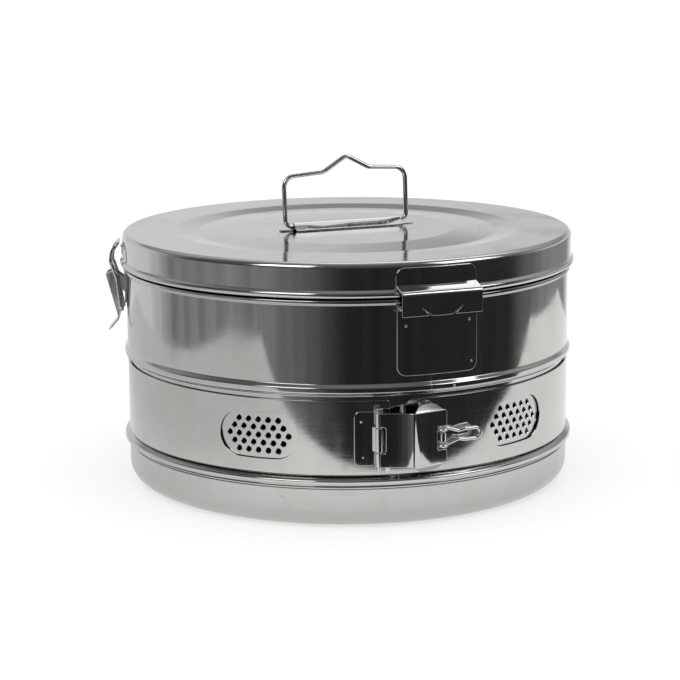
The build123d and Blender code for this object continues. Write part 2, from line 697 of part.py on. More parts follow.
# the wire lies in an upright plane beside its pin, with an eye at each end
turn = math.radians(CATCH_PIN_AZIMUTH)
catch_along = Vector(math.cos(turn), math.sin(turn), 0)
catch_outward = Vector(math.sin(turn), -math.cos(turn), 0)
eye_centre = Vector(*catch_spot, catch_middle)
wire_plane = Plane(
    origin=eye_centre - catch_outward * eye_radius, x_dir=catch_along, z_dir=catch_outward
)
arm = [
    (0, CATCH_EYE_RISE),
    (CATCH_SHOULDER, CATCH_EYE_RISE),
    CATCH_WAIST,
    (CATCH_LOOP_START, CATCH_LOOP_RISE),
    (CATCH_LENGTH - CATCH_LOOP_RISE, CATCH_LOOP_RISE),
]
with BuildPart() as wire_catch:
    with BuildLine(wire_plane) as catch_path:
        upper = FilletPolyline(*arm, radius=CATCH_BENDS)
        FilletPolyline(*[(x, -y) for x, y in arm], radius=CATCH_BENDS)
        ThreePointArc(arm[-1], (CATCH_LENGTH, 0), (arm[-1][0], -arm[-1][1]))
    with BuildSketch(Plane(origin=upper @ 0, z_dir=upper % 0)):
        Circle(CATCH_WIRE / 2)
    sweep(path=catch_path.line)
    for rise in (-CATCH_EYE_RISE, CATCH_EYE_RISE):
        with Locations(Location(eye_centre + Vector(0, 0, rise))):
            Torus(eye_radius, CATCH_WIRE / 2)
finish(wire_catch.part, "wire_catch")


# ---- side latches, one on each side --------------------------------------------------------
ear_outside = EAR_INSIDE + LATCH_SHEET
lever_inside = ear_outside + SIDE_GAP
lever_outside = lever_inside + LATCH_SHEET
bail_side = lever_outside + SIDE_GAP + BAIL_WIRE / 2
pivot_radius = DRUM_RADIUS + LATCH_STANDOFF
pivot_height = seat_bead_height - LATCH_DROP
latch_pivot = (pivot_radius, pivot_height)


def beside(point, offset):
    """The point moved outwards and up by an offset."""
    return (point[0] + offset[0], point[1] + offset[1])


bail_pivot = beside(latch_pivot, BAIL_PIVOT_OFFSET)
lever_top = beside(latch_pivot, LEVER_TOP_OFFSET)
lever_foot = beside(bail_pivot, LEVER_FOOT_OFFSET)
lip_root = beside(bail_pivot, LIP_ROOT_OFFSET)
lever_tip = beside(bail_pivot, LEVER_TIP_OFFSET)
catch_lip_radius = lid_radius + CATCH_LIP_REACH
catch_lip_bottom = rim_top + CATCH_LIP_MARGIN
catch_lip_top = catch_lip_bottom + CATCH_LIP_HEIGHT
bar_room = SIDE_GAP + BAIL_WIRE / 2
bail_bar = beside((catch_lip_radius, catch_lip_top), (bar_room, bar_room))
bracket_bottom = bail_pivot[1] + BAIL_BOSS + BRACKET_MARGIN
bracket_height = lower_leaf_top - bracket_bottom
bracket_middle = leaf_inner + LATCH_SHEET / 2
bracket_span = turn_along(2 * (ear_outside + BRACKET_SIDE), leaf_inner)
catch_span = turn_along(2 * CATCH_PLATE_HALF, skirt_inner)
lip_core = catch_lip_radius - CATCH_LIP_ROUND
lip_middle = (catch_lip_bottom + catch_lip_top) / 2
web_line = [lever_top, lever_foot, lip_root, lever_tip]
web_back = [(radius - LATCH_SHEET, height) for radius, height in web_line]
leg_bends = [beside(latch_pivot, offset) for offset in BAIL_LEG_OFFSETS]
leg_line = [(lever_inside - BAIL_END, *bail_pivot)]
for radius, height in (bail_pivot, *leg_bends, bail_bar):
    leg_line.append((bail_side, radius, height))

for side, azimuth in LATCH_AZIMUTHS.items():
    side_plane = radial_plane(azimuth)
    with BuildPart() as latch_bracket:
        with BuildSketch(radial_plane(azimuth - bracket_span / 2)):
            with Locations((bracket_middle, (bracket_bottom + lower_leaf_top) / 2)):
                Rectangle(LATCH_SHEET, bracket_height)
        revolve(axis=Axis.Z, revolution_arc=bracket_span)
        for way in (-1, 1):
            with BuildSketch(side_plane.offset(way * (EAR_INSIDE + ear_outside) / 2)):
                with BuildLine():
                    Polyline(
                        (bracket_middle, pivot_height - EAR_FOOT[0]),
                        (pivot_radius + EAR_SHOULDER[0], pivot_height - EAR_SHOULDER[1]),
                        (pivot_radius - EAR_SHOULDER[0], pivot_height + EAR_SHOULDER[1]),
                        (bracket_middle, pivot_height - EAR_FOOT[1]),
                        close=True,
                    )
                make_face()
                with Locations(latch_pivot):
                    Circle(LATCH_BOSS)
                    Circle(LATCH_PIN + FIXED_FIT, mode=Mode.SUBTRACT)
            extrude(amount=LATCH_SHEET / 2, both=True)
    finish(latch_bracket.part, f"latch_bracket_{side}")

    with BuildPart() as latch_pin:
        with BuildSketch(side_plane):
            with Locations(latch_pivot):
                Circle(LATCH_PIN)
        extrude(amount=lever_outside - SEAT_GAP, both=True)
    finish(latch_pin.part, f"latch_pin_{side}")

    with BuildPart() as latch_lever:
        with BuildSketch(side_plane):
            with BuildLine():
                web_outside = FilletPolyline(*web_line, radius=LEVER_BENDS)
                web_inside = FilletPolyline(*web_back, radius=LEVER_BENDS)
                Line(web_outside @ 0, web_inside @ 0)
                Line(web_outside @ 1, web_inside @ 1)
            make_face()
        extrude(amount=lever_outside, both=True)
        for way in (-1, 1):
            with BuildSketch(side_plane.offset(way * (lever_inside + lever_outside) / 2)):
                with BuildLine():
                    Polyline(
                        (lever_top[0] - LATCH_SHEET / 2, lever_top[1]),
                        (pivot_radius, pivot_height + LATCH_BOSS),
                        (pivot_radius - LATCH_BOSS, pivot_height),
                        (bail_pivot[0] - BAIL_BOSS, bail_pivot[1]),
                        (bail_pivot[0], bail_pivot[1] - BAIL_BOSS),
                        (lever_foot[0] - LATCH_SHEET / 2, lever_foot[1]),
                        close=True,
                    )
                make_face()
                with Locations(latch_pivot):
                    Circle(LATCH_BOSS)
                    Circle(LATCH_PIN + RUNNING_FIT, mode=Mode.SUBTRACT)
                with Locations(bail_pivot):
                    Circle(BAIL_BOSS)
                    Circle(BAIL_WIRE / 2 + RUNNING_FIT, mode=Mode.SUBTRACT)
            extrude(amount=LATCH_SHEET / 2, both=True)
    finish(latch_lever.part, f"latch_lever_{side}")

    bail_points = []
    for way, line in ((1, leg_line), (-1, reversed(leg_line))):
        for along, radius, height in line:
            bail_points.append(side_plane.from_local_coords(Vector(radius, height, -way * along)))
    with BuildPart() as latch_bail:
        with BuildLine() as bail_path:
            FilletPolyline(*bail_points, radius=[*BAIL_BENDS, *reversed(BAIL_BENDS)])
        with BuildSketch(Plane(origin=bail_path.line @ 0, z_dir=bail_path.line % 0)):
            Circle(BAIL_WIRE / 2)
        sweep(path=bail_path.line)
    finish(latch_bail.part, f"latch_bail_{side}")

    with BuildPart() as lid_catch:
        with BuildSketch(radial_plane(azimuth - catch_span / 2)):
            with Locations(((skirt_inner + lip_core) / 2, lip_middle)):
                Rectangle(lip_core - skirt_inner, catch_lip_top - catch_lip_bottom)
            with Locations((lip_core, catch_lip_top - CATCH_LIP_ROUND)):
                Circle(CATCH_LIP_ROUND)
        revolve(axis=Axis.Z, revolution_arc=catch_span)
    finish(lid_catch.part, f"lid_catch_{side}")
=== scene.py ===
import math
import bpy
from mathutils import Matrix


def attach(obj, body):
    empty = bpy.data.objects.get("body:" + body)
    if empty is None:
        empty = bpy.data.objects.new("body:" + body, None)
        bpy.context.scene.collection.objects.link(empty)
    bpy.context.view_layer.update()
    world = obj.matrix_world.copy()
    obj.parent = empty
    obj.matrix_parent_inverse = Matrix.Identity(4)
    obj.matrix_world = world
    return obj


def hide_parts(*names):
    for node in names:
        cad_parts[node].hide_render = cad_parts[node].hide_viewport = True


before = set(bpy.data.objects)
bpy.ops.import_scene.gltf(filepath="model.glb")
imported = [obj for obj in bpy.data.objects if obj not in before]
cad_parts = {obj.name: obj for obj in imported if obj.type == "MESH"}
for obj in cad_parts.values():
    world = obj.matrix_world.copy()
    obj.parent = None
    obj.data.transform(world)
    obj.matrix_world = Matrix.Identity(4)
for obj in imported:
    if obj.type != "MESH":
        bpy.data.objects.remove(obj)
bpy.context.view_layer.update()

from types import SimpleNamespace

import bmesh
import bpy
from bpy.props import FloatProperty, FloatVectorProperty, IntProperty
from mathutils import Matrix, Vector

bl_info = {
    "name": "Sterilization drum",
    "version": (1, 0, 0),
    "blender": (4, 5, 0),
    "location": "3D View > Sidebar > Drum",
    "description": "Builds the polished steel of a vented sterilization drum",
    "category": "Object",
}

# Sizes in the code are millimetres. The drum's axis is +Z, its lid hinge is at -Y, and an
# azimuth turns about +Z from -Y towards +X.
MM = 0.001
TURN_SEGMENTS = 384
SMOOTH_ANGLE = math.radians(34)
SOFT_EDGE = 0.4
# gap under a seated plate and round a wire, thickness of the small plates, the outside
# radius that the band's plates lie on, the vents' middle and the wall's upright seam
SEAT = 0.1
WIRE_PLAY = 0.12
PLATE = 1.0
BAND_FACE = 145.0
VENT_HEIGHT = 56.4
SEAM_AZIMUTH = -1.9
LATCH_AZIMUTHS = {"left": -110.0, "right": 110.0}


# ---- sizes and finishes that a user may change ----
def length(name, description, millimetres):
    """A length property with its default given in millimetres."""
    return FloatProperty(
        name=name, description=description, default=millimetres * MM, min=0.0,
        precision=5, subtype="DISTANCE", unit="LENGTH",
    )


def degrees(name, description, value):
    """An angle property with its default given in degrees."""
    return FloatProperty(
        name=name, description=description, default=math.radians(value), subtype="ANGLE",
    )


def tint(name, description, value):
    """A colour property."""
    return FloatVectorProperty(
        name=name, description=description, default=value, size=3, min=0.0, max=1.0,
        subtype="COLOR",
    )


class DrumSizes(bpy.types.PropertyGroup):
    sheet: length("Sheet", "Thickness of the wall, pan and lid sheet", 0.8)
    wall: length("Wall radius", "Outside radius of the body above the vent band", 145.0)
    groove: length("Groove radius", "Outside radius of the body behind the band", 143.4)
    neck: length("Neck radius", "Outside radius of the neck inside the lid", 144.0)
    pan_corner: length("Pan corner", "Rounding of the pan's lower edge", 12.0)
    lid: length("Lid radius", "Outside radius of the lid's skirt", 146.8)
    lid_shoulder: length("Lid shoulder", "Rounding of the lid's upper edge", 3.5)
    vent_hole: length("Vent hole", "Diameter of one vent hole", 3.3)
    vent_pitch: length("Vent pitch", "Distance between the holes of a row", 6.5)
    vent_row: length("Vent rows", "Distance between the rows of holes", 4.75)
    window_width: length("Window width", "Width of a window of the vent band", 52.0)
    window_height: length("Window height", "Height of a window of the vent band", 28.4)
    handle_wire: length("Handle wire", "Diameter of the handle's wire", 3.0)
    hook_wire: length("Hook wire", "Diameter of the side latches' wire hooks", 2.4)
    catch_wire: length("Catch wire", "Diameter of the clasp's wire catch", 2.2)
    weld_dot: length("Weld dot", "Diameter of a spot weld's mark", 1.5)
    vent_step: degrees("Vent step", "Angle from one vent field to the next", 72.9)
    vent_first: degrees("First vent", "Azimuth of the first vent field", 24.1)
    vent_fields: IntProperty(
        name="Vent fields", description="Number of vent fields", default=5, min=1, max=6
    )


class DrumFinish(bpy.types.PropertyGroup):
    steel: tint("Steel", "Colour of the polished steel", (0.60, 0.598, 0.592))
    stain: tint("Haze", "Colour of the handled and heat-toned steel", (0.53, 0.515, 0.49))
    floor: tint("Floor", "Colour of the floor", (0.93, 0.93, 0.93))
    gloss: FloatProperty(
        name="Roughness", description="Roughness of the polished sheet",
        default=0.065, min=0.0, max=1.0, subtype="FACTOR",
    )
    dents: length("Dents", "Depth of the sheet's long shallow waves", 0.16)


def millimetres(context):
    """The sizes as plain numbers: lengths in millimetres, angles in degrees."""
    group = context.scene.drum_sizes
    values = {}
    for key in DrumSizes.__annotations__:
        value = getattr(group, key)
        if key in ("vent_step", "vent_first"):
            value = math.degrees(value)
        elif key != "vent_fields":
            value = value / MM
        values[key] = value
    return SimpleNamespace(**values)


# ---- places ----
def spot(radius, azimuth, height=0.0):
    """Point at a radius, azimuth and height."""
    turn = math.radians(azimuth)
    return Vector((radius * math.sin(turn), -radius * math.cos(turn), height))


def on_wall(radius, azimuth, foot=0.0):
    """Place on a round wall: u runs round it, v up and w outwards."""

    def place(u, v, w):
        return spot(radius + w, azimuth + math.degrees(u / radius), foot + v)

    return place


def radial_frame(azimuth):
    """Place in the upright plane through the axis: u along the wall, v outwards, w up."""
    turn = math.radians(azimuth)
    along = Vector((math.cos(turn), math.sin(turn), 0))

    def place(u, v, w):
        return along * u + spot(v, azimuth, w)

    return place


def flat_plan(foot=0.0):
    """Place of a shape that is drawn in plan and rises from a height."""

    def place(u, v, w):
        return Vector((u, v, foot + w))

    return place


def sideways(place, offset=0.0):
    """Place of a shape that is drawn across the wall and runs along it."""
    return lambda u, v, w: place(offset + w, u, v)


# ---- lines ----
def rounded(points, radii, steps=8):
    """The line through the points with its inner corners rounded."""
    points = [Vector(p).to_3d() for p in points]
    if isinstance(radii, (int, float)):
        radii = [radii] * (len(points) - 2)
    line = [points[0]]
    for before, corner, after, radius in zip(points, points[1:], points[2:], radii):
        back = (before - corner).normalized()
        ahead = (after - corner).normalized()
        half = back.angle(ahead) / 2
        if radius <= 0 or half > math.radians(89.5):
            line.append(corner)
            continue
        reach = radius / math.tan(half)
        start = corner + back * reach
        centre = corner + (back + ahead).normalized() * (radius / math.sin(half))
        first = start - centre
        axis = first.cross(corner + ahead * reach - centre).normalized()
        sweep = math.pi - 2 * half
        for step in range(steps + 1):
            line.append(centre + Matrix.Rotation(sweep * step / steps, 3, axis) @ first)
    line.append(points[-1])
    return line


def closed_round(points, radii, steps=6):
    """A closed outline with all its corners rounded."""
    count = len(points)
    if isinstance(radii, (int, float)):
        radii = [radii] * count
    middle = (Vector(points[0]) + Vector(points[-1])) / 2
    looped = [middle, *points, middle]
    return rounded(looped, radii, steps)[:-1]


def offset_line(line, distance):
    """The line moved to its left by a distance, in its own plane."""
    moved = []
    for index, here in enumerate(line):
        before = line[max(index - 1, 0)]
        after = line[min(index + 1, len(line) - 1)]
        way = (after - before).normalized()
        moved.append(here + Vector((-way.y, way.x, 0)) * distance)
    return moved


def rectangle(width, height, middle=(0.0, 0.0)):
    """Corners of a rectangle, turning left."""
    u, v = middle[:2]
    a, b = width / 2, height / 2
    return [(u - a, v - b), (u + a, v - b), (u + a, v + b), (u - a, v + b)]


def circle(radius, middle=(0.0, 0.0), count=28):
    """Points of a circle."""
    u, v = middle[:2]
    step = math.tau / count
    return [
        (u + radius * math.cos(i * step), v + radius * math.sin(i * step))
        for i in range(count)
    ]


# ---- solids ----
def prism(outline, thickness, place, cuts=(), edge=SOFT_EDGE, start=0.0):
    """A plate cut to an outline, its edges softened, then laid in its place.

    Cuts are (axis, first, last, step): extra lines across the plate, so that it can bend.
    """
    mesh = bmesh.new()
    corners = [mesh.verts.new((p[0], p[1], start)) for p in outline]
    face = mesh.faces.new(corners)
    raised = bmesh.ops.extrude_face_region(mesh, geom=[face])["geom"]
    lifted = [item for item in raised if isinstance(item, bmesh.types.BMVert)]
    bmesh.ops.translate(mesh, vec=(0, 0, thickness), verts=lifted)
    bmesh.ops.recalc_face_normals(mesh, faces=mesh.faces)
    if edge > 0:
        sharp = [e for e in mesh.edges if e.calc_face_angle(0) > math.radians(40)]
        bmesh.ops.bevel(
            mesh, geom=sharp, offset=edge, offset_type="OFFSET", segments=3, profile=0.5,
            affect="EDGES", clamp_overlap=True,
        )
    for axis, first, last, step in cuts:
        normal = Vector((axis == 0, axis == 1, axis == 2)).to_3d()
        count = max(int(round((last - first) / step)), 1)
        for index in range(count + 1):
            point = normal * (first + (last - first) * index / count)
            everything = [*mesh.verts, *mesh.edges, *mesh.faces]
            bmesh.ops.bisect_plane(mesh, geom=everything, plane_co=point, plane_no=normal)
    for vertex in mesh.verts:
        vertex.co = place(*vertex.co)
    return mesh


def bent(path, place):
    """Place of a sheet that follows a line in the (v, w) plane, and the line's length.

    Its v runs along the line and its w stands off it.
    """
    lengths = [0.0]
    for a, b in zip(path, path[1:]):
        lengths.append(lengths[-1] + (b - a).length)
    normals = [n - p for n, p in zip(offset_line(path, 1.0), path)]

    def laid(u, s, w):
        index = 0
        while index < len(path) - 2 and lengths[index + 1] < s:
            index += 1
        span = lengths[index + 1] - lengths[index]
        share = (s - lengths[index]) / span
        point = path[index].lerp(path[index + 1], share)
        normal = normals[index].lerp(normals[index + 1], share).normalized()
        point = point + normal * w
        return place(u, point.x, point.y)

    return laid, lengths[-1]


def wall_plate(width, height, middle, radii, place, thickness=PLATE, step=1.6, inset=1.0):
    """A plate with rounded corners, cut across so that it bends with the wall."""
    outline = closed_round(rectangle(width, height, middle), radii)
    reach = width / 2 - inset
    return prism(
        outline, thickness, place, cuts=[(0, middle[0] - reach, middle[0] + reach, step)]
    )


def new_object(name, data):
    """An object in the scene that holds the data."""
    thing = bpy.data.objects.new(name, data)
    bpy.context.scene.collection.objects.link(thing)
    return thing


def drawn_mesh(name, drawn):
    """A mesh from geometry drawn in millimetres, which it uses up."""
    bmesh.ops.scale(drawn, vec=(MM, MM, MM), verts=drawn.verts)
    data = bpy.data.meshes.new(name)
    drawn.to_mesh(data)
    drawn.free()
    return data


def piece(name, meshes, node, body, slot, material, even=True):
    """Joins the meshes into one piece that stands for a CAD node."""
    joined = bmesh.new()
    for part in meshes:
        data = bpy.data.meshes.new(name)
        part.to_mesh(data)
        joined.from_mesh(data)
        bpy.data.meshes.remove(data)
        part.free()
    bmesh.ops.recalc_face_normals(joined, faces=joined.faces)
    thing = new_object(name, drawn_mesh(name, joined))
    return settle(thing, node, body, slot, material, even)


def settle(thing, node, body, slot, material, even=True):
    """Smooths a finished piece, gives it its steel and body, and hides the CAD node it
    stands for.
    """
    data = thing.data
    data.materials.clear()
    data.materials.append(material)
    data.polygons.foreach_set("use_smooth", [True] * len(data.polygons))
    data.set_sharp_from_angle(angle=SMOOTH_ANGLE)
    data.update()
    # the large faces keep their own normals, so that reflections run true up to their edges
    if even:
        weighted = thing.modifiers.new("even", "WEIGHTED_NORMAL")
        weighted.keep_sharp = True
        weighted.weight = 70
        graph = bpy.context.evaluated_depsgraph_get()
        thing.data = bpy.data.meshes.new_from_object(thing.evaluated_get(graph))
        thing.modifiers.clear()
        bpy.data.meshes.remove(data)
    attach(thing, body)
    if node:
        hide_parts(node)
    return thing


# ---- node trees ----
def tree_with(name, inputs):
    """An empty geometry tree with named inputs and one geometry output."""
    tree = bpy.data.node_groups.new(name, "GeometryNodeTree")
    for label, kind in inputs:
        tree.interface.new_socket(label, in_out="INPUT", socket_type=kind)
    tree.interface.new_socket("Geometry", in_out="OUTPUT", socket_type="NodeSocketGeometry")
    return tree, tree.nodes.new("NodeGroupInput"), tree.nodes.new("NodeGroupOutput")


def add(tree, kind, inputs=None, **settings):
    """Adds a node, sets it, and feeds its inputs from values or other sockets."""
    node = tree.nodes.new(kind)
    for key, value in settings.items():
        setattr(node, key, value)
    for key, value in (inputs or {}).items():
        if isinstance(value, bpy.types.NodeSocket):
            tree.links.new(value, node.inputs[key])
        else:
            node.inputs[key].default_value = value
    return node


def calc(tree, operation, *values):
    """Result of a sum on plain numbers."""
    inputs = dict(enumerate(values))
    return add(tree, "ShaderNodeMath", inputs, operation=operation).outputs[0]


def laid_flat(tree, vector):
    """The vector without its height."""
    inputs = {0: vector, 1: (1.0, 1.0, 0.0)}
    return add(tree, "ShaderNodeVectorMath", inputs, operation="MULTIPLY").outputs[0]


def faced_out(tree):
    """Rotation that turns +Y away from the axis at each point."""
    where = add(tree, "GeometryNodeInputPosition").outputs[0]
    inputs = {"Vector": laid_flat(tree, where)}
    return add(tree, "FunctionNodeAlignRotationToVector", inputs, axis="Y").outputs[0]


def end_tree(tree, given, out, geometry):
    """Ends a tree in plain geometry with its material set."""
    real = add(tree, "GeometryNodeRealizeInstances", {"Geometry": geometry})
    steel = add(
        tree, "GeometryNodeSetMaterial",
        {"Geometry": real.outputs[0], "Material": given.outputs["Material"]},
    )
    tree.links.new(steel.outputs[0], out.inputs[0])


def wire_tree():
    """Round wire along the object's own line of edges."""
    tree, given, out = tree_with("Bent wire", [
        ("Line", "NodeSocketGeometry"), ("Diameter", "NodeSocketFloat"),
        ("Sides", "NodeSocketInt"), ("Material", "NodeSocketMaterial"),
    ])
    line = add(tree, "GeometryNodeMeshToCurve", {"Mesh": given.outputs["Line"]})
    half = calc(tree, "MULTIPLY", given.outputs["Diameter"], 0.5)
    ring = add(
        tree, "GeometryNodeCurvePrimitiveCircle",
        {"Resolution": given.outputs["Sides"], "Radius": half},
    )
    tube = add(
        tree, "GeometryNodeCurveToMesh",
        {"Curve": line.outputs[0], "Profile Curve": ring.outputs[0], "Fill Caps": True},
    )
    end_tree(tree, given, out, tube.outputs[0])
    return tree


def turned_tree():
    """A form turned about the drum's axis from a closed section line.

    The section's x is a radius less the path's, and its y points down.
    """
    tree, given, out = tree_with("Turned sheet", [
        ("Section", "NodeSocketGeometry"), ("Path Radius", "NodeSocketFloat"),
        ("Segments", "NodeSocketInt"), ("Material", "NodeSocketMaterial"),
    ])
    section = add(tree, "GeometryNodeMeshToCurve", {"Mesh": given.outputs["Section"]})
    path = add(
        tree, "GeometryNodeCurvePrimitiveCircle",
        {"Resolution": given.outputs["Segments"], "Radius": given.outputs["Path Radius"]},
    )
    skin = add(
        tree, "GeometryNodeCurveToMesh",
        {"Curve": path.outputs[0], "Profile Curve": section.outputs[0]},
    )
    closed = add(
        tree, "GeometryNodeMergeByDistance", {"Geometry": skin.outputs[0], "Distance": 1e-6}
    )
    end_tree(tree, given, out, closed.outputs[0])
    return tree


def punched_tree():
    """A sheet with one punch shape driven through it at each place, square to the wall."""
    tree, given, out = tree_with("Punched sheet", [
        ("Sheet", "NodeSocketGeometry"), ("Places", "NodeSocketObject"),
        ("Punch", "NodeSocketObject"), ("Material", "NodeSocketMaterial"),
    ])
    places = add(tree, "GeometryNodeObjectInfo", {"Object": given.outputs["Places"]})
    punch = add(tree, "GeometryNodeObjectInfo", {"Object": given.outputs["Punch"]})
    copies = add(
        tree, "GeometryNodeInstanceOnPoints",
        {
            "Points": places.outputs["Geometry"], "Instance": punch.outputs["Geometry"],
            "Rotation": faced_out(tree),
        },
    )
    punches = add(tree, "GeometryNodeRealizeInstances", {"Geometry": copies.outputs[0]})
    cut = add(tree, "GeometryNodeMeshBoolean", operation="DIFFERENCE", solver="MANIFOLD")
    tree.links.new(given.outputs["Sheet"], cut.inputs["Mesh 1"])
    tree.links.new(punches.outputs[0], cut.inputs["Mesh 2"])
    end_tree(tree, given, out, cut.outputs["Mesh"])
    return tree


def spots_tree():
    """Small domed marks on the object's own points, each a little different in size."""
    tree, given, out = tree_with("Weld dots", [
        ("Places", "NodeSocketGeometry"), ("Diameter", "NodeSocketFloat"),
        ("Seed", "NodeSocketInt"), ("Material", "NodeSocketMaterial"),
    ])
    half = calc(tree, "MULTIPLY", given.outputs["Diameter"], 0.5)
    dome = add(
        tree, "GeometryNodeMeshUVSphere", {"Segments": 14, "Rings": 8, "Radius": half}
    )
    flat = add(
        tree, "GeometryNodeTransform",
        {"Geometry": dome.outputs[0], "Scale": (1.0, 0.3, 1.0)},
    )
    size = add(
        tree, "FunctionNodeRandomValue",
        {2: 0.8, 3: 1.15, "Seed": given.outputs["Seed"]}, data_type="FLOAT",
    )
    copies = add(
        tree, "GeometryNodeInstanceOnPoints",
        {
            "Points": given.outputs["Places"], "Instance": flat.outputs[0],
            "Rotation": faced_out(tree), "Scale": size.outputs[1],
        },
    )
    end_tree(tree, given, out, copies.outputs[0])
    return tree


TREES = {}


def tree_named(name):
    """The tree of that name, built the first time it is asked for."""
    makers = {
        "wire": wire_tree, "turned": turned_tree, "punched": punched_tree,
        "spots": spots_tree,
    }
    if name not in TREES:
        TREES[name] = makers[name]()
    return TREES[name]


def grown(thing, tree, values):
    """The object's mesh after a tree, as plain geometry with no modifier left."""
    modifier = thing.modifiers.new(tree.name, "NODES")
    modifier.node_group = tree
    for item in tree.interface.items_tree:
        if item.in_out == "INPUT" and item.name in values:
            modifier[item.identifier] = values[item.name]
    thing.update_tag()
    bpy.context.view_layer.update()
    graph = bpy.context.evaluated_depsgraph_get()
    mesh = bpy.data.meshes.new_from_object(thing.evaluated_get(graph))
    thing.modifiers.remove(modifier)
    old = thing.data
    thing.data = mesh
    bpy.data.meshes.remove(old)
    return thing


def line_object(name, points, closed=False):
    """An object that holds a line of edges."""
    data = bpy.data.meshes.new(name)
    count = len(points)
    edges = [(i, i + 1) for i in range(count - 1)]
    if closed:
        edges.append((count - 1, 0))
    data.from_pydata([Vector(p) * MM for p in points], edges, [])
    return new_object(name, data)


def point_object(name, points):
    """An object that holds loose points."""
    data = bpy.data.meshes.new(name)
    data.from_pydata([Vector(p) * MM for p in points], [], [])
    return new_object(name, data)


def turned(name, section, material):
    """A turned form from its section: points of (radius, height)."""
    middle = max(p[0] for p in section) / 2
    drawn = [(p[0] - middle, -p[1], 0.0) for p in section]
    thing = line_object(name, drawn, closed=True)
    grown(thing, tree_named("turned"), {
        "Path Radius": middle * MM, "Segments": TURN_SEGMENTS, "Material": material,
    })
    mesh = bmesh.new()
    mesh.from_mesh(thing.data)
    bmesh.ops.recalc_face_normals(mesh, faces=mesh.faces)
    mesh.to_mesh(thing.data)
    mesh.free()
    return thing


def punched(thing, places, punch, material):
    """Punches the sheet at the places and clears the tools away."""
    spots = point_object("places", places)
    tool = new_object("punch", drawn_mesh("punch", punch))
    grown(thing, tree_named("punched"), {
        "Places": spots, "Punch": tool, "Material": material,
    })
    for used in (spots, tool):
        bpy.data.objects.remove(used)
    return thing


def wire(name, line, diameter, node, body, slot, material, sides=20):
    """A bent wire along a line, standing for a CAD node."""
    thing = line_object(name, line)
    grown(thing, tree_named("wire"), {
        "Diameter": diameter * MM, "Sides": sides, "Material": material,
    })
    return settle(thing, node, body, slot, material)


# ---- shader parts and finishes ----
# scale of the rolling lines in each direction, and the wall's radius in metres
GRAINS = {
    "round": (12.0, 1600.0, 1600.0), "across": (25.0, 1500.0, 1500.0),
    "up": (900.0, 900.0, 40.0),
}
WALL_ARC = 0.146


def bare(holder):
    """The emptied node tree of a material or a world."""
    holder.use_nodes = True
    holder.node_tree.nodes.clear()
    return holder.node_tree


def surface(name, shade):
    """A material whose shader is the socket that shade draws in its tree."""
    material = bpy.data.materials.new(name)
    tree = bare(material)
    add(tree, "ShaderNodeOutputMaterial", {"Surface": shade(tree)})
    return material


def object_place(tree):
    """The point in the object's own coordinates."""
    return add(tree, "ShaderNodeTexCoord").outputs["Object"]


def axes(tree, vector):
    """The three parts of a vector."""
    return add(tree, "ShaderNodeSeparateXYZ", {0: vector}).outputs


def vector_of(tree, *parts):
    """A vector from its parts."""
    return add(tree, "ShaderNodeCombineXYZ", dict(enumerate(parts))).outputs[0]


def length_of(tree, vector):
    """How long a vector is."""
    node = add(tree, "ShaderNodeVectorMath", {0: vector}, operation="LENGTH")
    return node.outputs["Value"]


def spread(tree, value, source, target=(0.0, 1.0), smooth=False):
    """A value moved from one range to another and held at its ends."""
    return add(
        tree, "ShaderNodeMapRange",
        {
            "Value": value, "From Min": source[0], "From Max": source[1],
            "To Min": target[0], "To Max": target[1],
        },
        interpolation_type="SMOOTHSTEP" if smooth else "LINEAR",
    ).outputs[0]


def noise(tree, at, scale, detail, roughness=0.5, distortion=0.0):
    """Brightness of a noise pattern."""
    return add(
        tree, "ShaderNodeTexNoise",
        {
            "Vector": at, "Scale": scale, "Detail": detail, "Roughness": roughness,
            "Distortion": distortion,
        },
    ).outputs["Fac"]


def stretched(tree, vector, scale):
    """The vector scaled along each axis."""
    return add(tree, "ShaderNodeMapping", {"Vector": vector, "Scale": scale}).outputs[0]


def mixed(tree, share, first, second, blend="MIX"):
    """Mix of two colours by a share."""
    return add(
        tree, "ShaderNodeMix", {0: share, 6: first, 7: second}, data_type="RGBA",
        blend_type=blend,
    ).outputs[2]


def times(colour, factor):
    """The colour made brighter or darker, for a node's socket."""
    return (*[part * factor for part in colour], 1.0)


